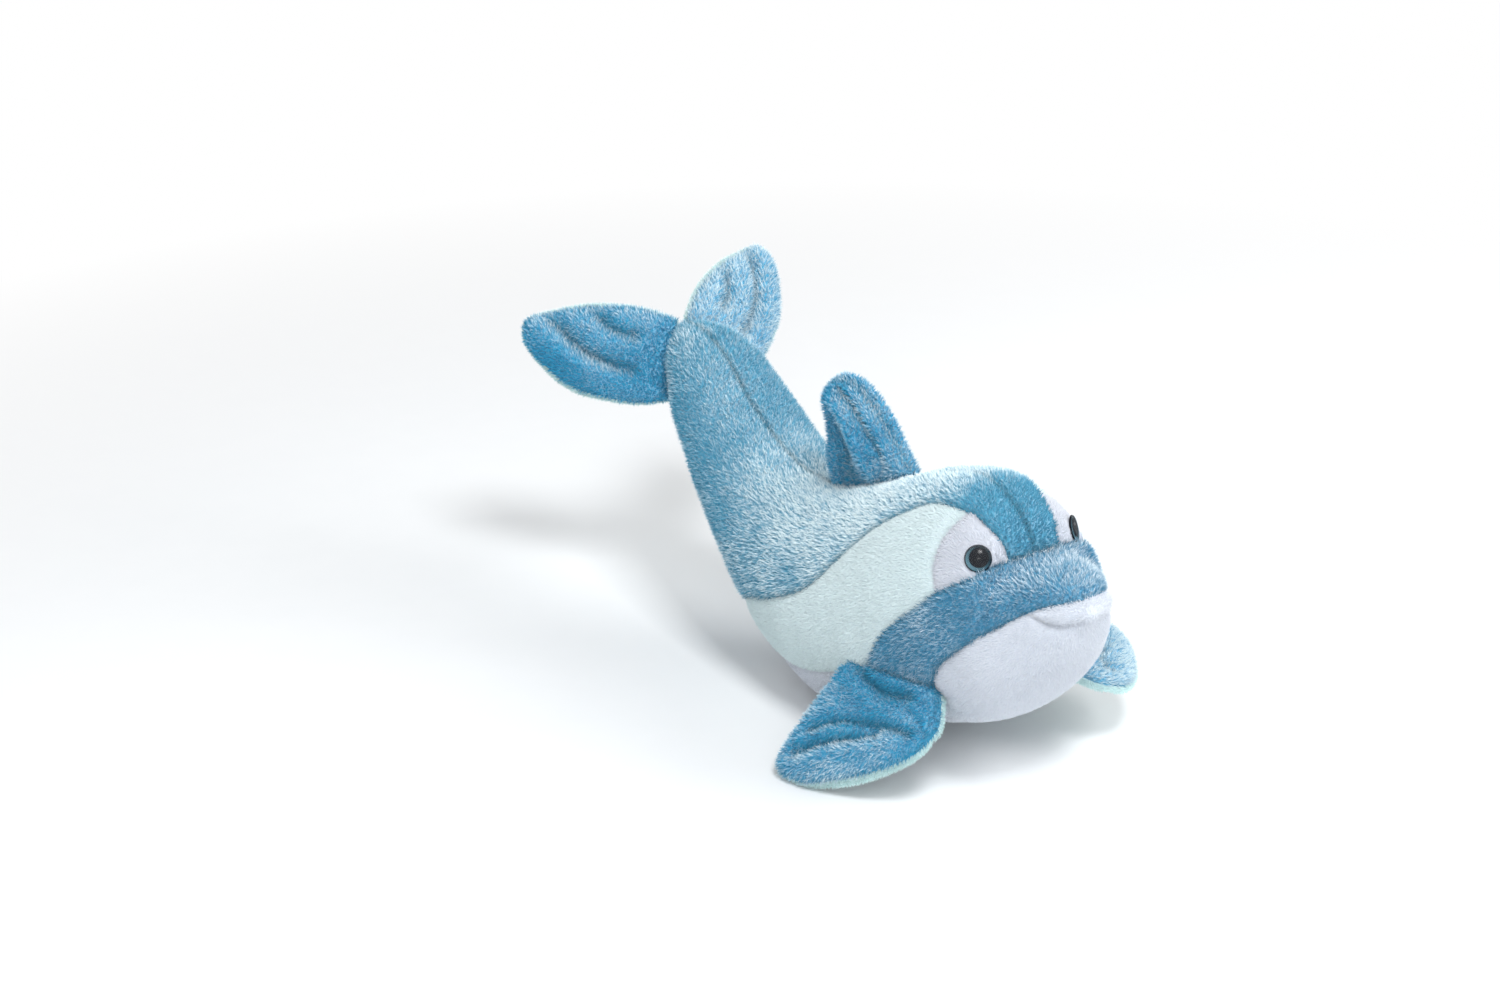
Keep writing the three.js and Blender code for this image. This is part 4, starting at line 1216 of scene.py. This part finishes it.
def pectoral_place(sign, pose):
    """Puts a point of the flat pectoral fin, with its height, on one side of the dolphin."""
    ends = [
        np.array([sign * (skin_width(*end) + PECTORAL_STAND_OFF), *end])
        for end in (PECTORAL_FRONT, PECTORAL_REAR)]
    middle = (ends[0] + ends[1]) / 2
    length = np.linalg.norm(ends[1] - ends[0])
    along = Vector(ends[1] - ends[0]).normalized()
    along.rotate(Matrix.Rotation(math.radians(pose["dip"]), 3, "X"))
    droop = math.radians(pose["droop"])
    outwards = Vector((sign * math.cos(droop), 0, -math.sin(droop)))
    outwards = (outwards - along * outwards.dot(along)).normalized()
    face = (outwards.cross(along) * sign).normalized()
    reach = max(v for u, v in PECTORAL_OUTLINE)

    def place(u, v, height):
        forward = (u - length / 2 - pose["forward"] * v)[:, None] * np.array(along)
        lifted = (height - PECTORAL_CURL * (v / reach) ** 2)[:, None] * np.array(face)
        return middle + forward + v[:, None] * np.array(outwards) + lifted

    return place, outwards, middle


def pectoral_outline():
    """The fin's outline and the root edge that follows the skin."""
    length = PECTORAL_OUTLINE[-1][0]
    widths = [skin_width(*PECTORAL_FRONT), skin_width(*PECTORAL_REAR)]
    root = []
    for step in range(1, 12):
        share = 1 - step / 12
        y, z = (PECTORAL_FRONT[k] + (PECTORAL_REAR[k] - PECTORAL_FRONT[k]) * share for k in (0, 1))
        bulge = skin_width(y, z) - (widths[0] + (widths[1] - widths[0]) * share)
        root.append((length * share, bulge - PECTORAL_ROOT_DEPTH))
    return np.vstack([even_curve(PECTORAL_OUTLINE, 110), root])


def fluke_place(sign):
    """Puts a point of the flat fluke, with its height, on one side of the tail."""
    slope, sweep, roll = (math.radians(value) for value in (FLUKE_SLOPE, FLUKE_SWEEP, BODY_RINGS[-1][6]))
    along = np.array([0, math.cos(slope), math.sin(slope)])
    upright = np.array([0, -math.sin(slope), math.cos(slope)])
    across = np.array([math.cos(roll), 0, 0]) + upright * math.sin(roll)
    dorsal = upright * math.cos(roll) + np.array([-math.sin(roll), 0, 0])
    last = BODY_RINGS[-1]
    end = np.array([0, (last[0] + last[2]) / 2, (last[1] + last[3]) / 2]) + along * FLUKE_BEHIND_TAIL
    span = across * sign * math.cos(sweep) - dorsal * math.sin(sweep)
    face = dorsal * math.cos(sweep) + across * sign * math.sin(sweep)
    reach = max(u for u, v in FLUKE_OUTLINE)

    def place(u, v, height):
        lifted = (height - FLUKE_CURL * (u / reach) ** 2)[:, None] * face
        return end + u[:, None] * span + v[:, None] * along + lifted

    return place, Vector(span)


def dorsal_place(u, v, height):
    """Puts a point of the flat dorsal fin, with its height, on the back."""
    front = back_height(DORSAL_FRONT)
    return np.column_stack([-height, DORSAL_FRONT + u, front + DORSAL_STAND_OFF + v])


def dorsal_outline():
    """The fin's outline and the root edge that follows the back."""
    front = back_height(DORSAL_FRONT)
    root = []
    for y in np.linspace(DORSAL_REAR, DORSAL_FRONT, 12)[1:-1]:
        root.append((y - DORSAL_FRONT, back_height(y) - front - DORSAL_ROOT_DEPTH))
    return np.vstack([even_curve(DORSAL_OUTLINE, 100), root])


def joint_place(child):
    """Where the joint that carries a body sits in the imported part."""
    return Vector(next(joint for joint in frame["joints"] if joint["child"] == child)["pos_m"])


def add_fin(name, sides, outline, thickness, place, root, outwards, relief, painted_light_by_place=lambda place: 1):
    """Both sides of a fin, their pile and stuffing, and how they bend at the root."""
    sizes = bpy.context.scene.plush_sizes
    pale = FIN_PAINTED_LIGHT[name]
    for index, (side, fabric, slot) in enumerate(sides):
        node = f"{name}_{side}"
        pile_look, cloth_look = FABRICS[fabric]
        sheet = fin_sheet(outline, thickness - FIN_PILE_ROOM, place, index == 0, relief)
        # Painted light and shade on the nap of this side
        paint_nap_light(sheet, pale, pale + FIN_PAINTED_TOP_LIGHT, FIN_PATCHINESS, painted_light_by_place)
        cloth = finished(f"{node}_cloth", sheet, cloth_look)
        long_pile = fabric == "fin"
        length = sizes.back_pile if long_pile else sizes.short_pile
        gather = LONG_GATHER if long_pile else FIN_SHORT_GATHER
        pile = grow_pile(
            f"{node}_pile", cloth, pile_look, FIN_DENSITY, length, FIN_LEAN, gather,
            seed=100 + 7 * len(name) + index)
        give_thickness(cloth, FIN_FABRIC)
        for piece in (cloth, pile):
            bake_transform(piece, "body", name, start=root, end=root + outwards * FIN_BEND)
        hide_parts(node)
    lump = fin_lump(outline, thickness - FIN_STUFFING_ROOM, place, relief)
    stuffing = finished(f"{name}_filling", lump, bpy.data.materials["stuffing_fibre"])
    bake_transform(stuffing, "body", name, start=root, end=root + outwards * FIN_BEND)
    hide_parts(f"{name}_stuffing")


class PLUSH_OT_fins(bpy.types.Operator):
    """Make the pectoral fins, the tail flukes and the dorsal fin"""
    bl_idname = "plush.fins"
    bl_label = "Fins"

    def execute(self, context):
        outline = pectoral_outline()
        for side, sign in SIDES:
            place, outwards, root = pectoral_place(sign, PECTORAL_POSES[side])
            add_fin(
                f"pectoral_fin_{side}", FLAT_SIDES, outline, PECTORAL_THICKNESS, place, Vector(root) * MM,
                outwards, PECTORAL_RELIEF, pectoral_painted_light)
        outline = np.vstack([even_curve(FLUKE_OUTLINE, 110), FLUKE_ROOT])
        for side, sign in SIDES:
            name = f"fluke_{side}"
            place, span = fluke_place(sign)
            add_fin(name, FLAT_SIDES, outline, FLUKE_THICKNESS, place, joint_place(name), span, FLUKE_RELIEF)
        name = "dorsal_fin"
        add_fin(
            name, UPRIGHT_SIDES, dorsal_outline(), DORSAL_THICKNESS, dorsal_place, joint_place(name),
            Vector((0, 0, 1)), DORSAL_RELIEF)
        return {"FINISHED"}


def turned(profile):
    """A solid of revolution about +Z from a profile of radius and height in millimetres."""
    solid = bmesh.new()
    verts = [solid.verts.new((radius * MM, 0, height * MM)) for radius, height in profile]
    edges = [solid.edges.new(pair) for pair in zip(verts, verts[1:])]
    bmesh.ops.spin(
        solid, geom=verts + edges, cent=(0, 0, 0), axis=(0, 0, 1), angle=2 * math.pi, steps=64,
        use_merge=True)
    bmesh.ops.remove_doubles(solid, verts=solid.verts, dist=1e-7)
    bmesh.ops.recalc_face_normals(solid, faces=solid.faces)
    return solid


def iris_material(name, iris, centre):
    """Painted disc under the lens: black pupil, a ring with painted light that makes it brighter low down,
    black rim.
    """
    material, tree = new_material(name)
    place = tree.place()
    local = tree.vector("SUBTRACT", place, tuple(centre))
    away = tree.length(local)
    low = tree.node("ShaderNodeVectorMath", {0: local, 1: LOW_LEFT}, operation="DOT_PRODUCT").out("Value")
    # Painted light: the ring is wider and brighter towards its lower left
    ring = spread(tree, away + low * RING_WIDENS, *PUPIL_EDGE) * (1 - spread(tree, away, *RIM_EDGE))
    ring = ring * (spread(tree, low, *RING_FADE) * (1 - RING_LEAST) + RING_LEAST)
    fibres = tree.noise(place, 0.0006, 3.0)
    shade = tree.mix(fibres, tuple(c * 0.7 for c in iris), tuple(min(1, c * 1.25) for c in iris))
    finish_material(tree, tree.surface(tree.mix(ring, PUPIL_BLACK, shade), 0.6, {"Specular IOR Level": 0.1}))
    return material


def lens_material(name):
    """Clear dome: see-through, with the gloss of its surface."""
    material, tree = new_material(name)
    clear = tree.node("ShaderNodeBsdfTransparent", {"Color": (0.96, 0.98, 1, 1)})
    smear = tree.noise(tree.place(), 0.003, 2.0)
    gloss = tree.node("ShaderNodeBsdfGlossy", {
        "Color": (1, 1, 1, 1), "Roughness": smear * LENS_SMEAR + LENS_ROUGHNESS})
    inner = tree.node("ShaderNodeNewGeometry").out("Backfacing")
    share = tree.node("ShaderNodeFresnel", {"IOR": LENS_IOR}).out(0) * (1 - inner)
    finish_material(tree, tree.shader_mix(share, clear, gloss))
    return material


def dome_profile():
    """A flat back, a short rim and a round front."""
    radius, rim = DOME_RIM[-1]
    profile = list(DOME_RIM)
    for step in range(1, DOME_STEPS + 1):
        angle = math.pi / 2 * step / DOME_STEPS
        width = radius * math.cos(angle) if step < DOME_STEPS else 0
        profile.append((width, rim + DOME_RISE * math.sin(angle)))
    return profile


class PLUSH_OT_eyes(bpy.types.Operator):
    """Make the two safety eyes, and give their washers a material"""
    bl_idname = "plush.eyes"
    bl_label = "Safety eyes"

    def execute(self, context):
        iris = tuple(context.scene.plush_colours.iris)
        clear = lens_material("clear_dome")
        black = plastic_material("eye_shank_black", (0.012, 0.013, 0.016), 0.25, 0.5)
        nylon = plastic_material("washer_nylon", linear(236, 234, 226), 0.5)
        for side, sign in SIDES:
            where = eye_frame(sign)
            facing = where.to_3x3() @ Vector((0, 0, 1))
            painted = iris_material(
                f"eye_iris_{side}", iris, where.translation + facing * DISC_PROFILE[-1][1] * MM)
            plans = [
                (f"eye_disc_{side}", DISC_PROFILE, painted, "eye_disc", None),
                (f"eye_dome_{side}", dome_profile(), clear, "eye_lens", f"eye_lens_{side}"),
                (f"eye_stem_{side}", SHANK_PROFILE, black, "eye_disc", f"eye_shank_{side}"),
            ]
            for name, profile, look, slot, node in plans:
                solid = turned(profile)
                bmesh.ops.transform(solid, matrix=where, verts=solid.verts)
                piece = finished(name, solid, look)
                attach(piece, "body")
                if node:
                    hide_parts(node)
            washer = frame["nodes"][f"eye_washer_{side}"]
            washer.data.materials.clear()
            washer.data.materials.append(nylon)
        return {"FINISHED"}


class PLUSH_OT_stuffing(bpy.types.Operator):
    """Make the three lumps of stuffing inside the body"""
    bl_idname = "plush.stuffing"
    bl_label = "Stuffing"

    def execute(self, context):
        for name in ("head_stuffing", "torso_stuffing", "tail_stuffing"):
            lump = bmesh.new()
            lump.from_mesh(frame["nodes"][name].data)
            bmesh.ops.remove_doubles(lump, verts=lump.verts, dist=0.01 * MM)
            piece = finished(f"{name}_lump", lump, bpy.data.materials["stuffing_fibre"])
            evened = piece.modifiers.new("Even", "REMESH")
            evened.mode = "VOXEL"
            evened.voxel_size = STUFFING_STEP
            seen = piece.evaluated_get(context.evaluated_depsgraph_get())
            mesh = bpy.data.meshes.new_from_object(seen)
            piece.modifiers.remove(evened)
            piece.data = mesh
            mesh.shade_smooth()
            for vert in mesh.vertices:
                curl = noise.noise(vert.co / CURL_WIDTH) + 1
                vert.co += vert.normal * curl * CURL_HEIGHT
            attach(piece, "body")
            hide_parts(name)
        return {"FINISHED"}


def add_camera(lens):
    """The camera, where the photograph was taken from."""
    camera = bpy.data.cameras.new("camera")
    camera.lens = lens
    camera.sensor_width = 36
    camera.clip_end = 20
    right = Vector(CAMERA_RIGHT)
    up = Vector(CAMERA_UP)
    turn = Matrix((right, up, right.cross(up))).transposed().to_4x4()
    bpy.context.scene.camera = linked("camera", camera, Matrix.Translation(CAMERA_PLACE) @ turn)


def add_floor():
    """White paper just under the toy, which turns pure white away from it."""
    material, tree = new_material("floor_paper")
    place = tree.place()
    paper = tree.mix(tree.noise(place, 0.02, 4.0), *PAPER)
    lit = tree.surface(paper, 0.9, {"Specular IOR Level": 0.1})
    straight = tree.node("ShaderNodeLightPath").out("Is Camera Ray")
    white = tree.node("ShaderNodeEmission", {"Color": (1, 1, 1, 1), "Strength": 1.0})
    share = spread(tree, tree.length(place), *FLOOR_FADE) * straight
    finish_material(tree, tree.shader_mix(share, lit, white))
    floor = bmesh.new()
    bmesh.ops.create_grid(floor, x_segments=1, y_segments=1, size=4, matrix=Matrix.Translation(FLOOR_PLACE))
    mesh = mesh_of("floor", floor)
    mesh.materials.append(material)
    ground = linked("floor", mesh)


def add_world(strength):
    """Soft light from all round. What the camera, the clear domes and the gloss see of it is white."""
    world = bpy.data.worlds.new("studio")
    world.use_nodes = True
    world.node_tree.nodes.clear()
    sky = Tree(world.node_tree)
    path = sky.node("ShaderNodeLightPath")
    seen = path.out("Is Camera Ray").math("MAXIMUM", path.out("Is Transmission Ray"))
    seen = seen.math("MAXIMUM", path.out("Is Glossy Ray"))
    white = sky.node("ShaderNodeBackground", {
        "Color": (1, 1, 1, 1), "Strength": seen * (1 - strength) + strength})
    sky.node("ShaderNodeOutputWorld", {"Surface": white.out(0)})
    bpy.context.scene.world = world


def add_lamps(studio):
    for name, (place, size, setting, share, colour, in_gloss) in LAMPS.items():
        lamp = bpy.data.lights.new(name, "AREA")
        lamp.shape = "SQUARE"
        lamp.size = size
        lamp.energy = getattr(studio, setting) * share
        lamp.color = colour
        turn = (Vector(LAMP_AIM) - Vector(place)).to_track_quat("-Z", "Y").to_matrix().to_4x4()
        linked(name, lamp, Matrix.Translation(place) @ turn).visible_glossy = in_gloss


class PLUSH_OT_studio(bpy.types.Operator):
    """Make the floor, the lights and the camera"""
    bl_idname = "plush.studio"
    bl_label = "Studio"

    def execute(self, context):
        studio = context.scene.plush_studio
        context.scene.view_settings.view_transform = "Standard"
        add_camera(studio.lens)
        add_floor()
        add_world(studio.world)
        add_lamps(studio)
        return {"FINISHED"}


class PLUSH_PT_sidebar(bpy.types.Panel):
    """Sizes, colours and steps of the plush dolphin"""
    bl_label = "Plush dolphin"
    bl_idname = "PLUSH_PT_sidebar"
    bl_space_type = "VIEW_3D"
    bl_region_type = "UI"
    bl_category = "Plush dolphin"

    def draw(self, context):
        for group in ("plush_sizes", "plush_colours", "plush_studio"):
            settings = getattr(context.scene, group)
            box = self.layout.box()
            for name in settings.__annotations__:
                box.prop(settings, name)
        for step in STEPS:
            self.layout.operator(step.bl_idname)


STEPS = (
    PLUSH_OT_fabrics, PLUSH_OT_studio, PLUSH_OT_body, PLUSH_OT_fins, PLUSH_OT_eyes, PLUSH_OT_stuffing)
GROUPS = {"plush_colours": PlushColours, "plush_sizes": PlushSizes, "plush_studio": PlushStudio}


def register():
    for kind in (*GROUPS.values(), *STEPS, PLUSH_PT_sidebar):
        bpy.utils.register_class(kind)
    for name, kind in GROUPS.items():
        setattr(bpy.types.Scene, name, PointerProperty(type=kind))


def unregister():
    for name in GROUPS:
        delattr(bpy.types.Scene, name)
    for kind in (PLUSH_PT_sidebar, *reversed(STEPS), *reversed(list(GROUPS.values()))):
        bpy.utils.unregister_class(kind)


def main():
    register()
    for step in STEPS:
        group, name = step.bl_idname.split(".")
        getattr(getattr(bpy.ops, group), name)()
    bpy.data.objects.remove(bpy.data.objects["tuft_pattern"])


if __name__ == "__main__":
    main()
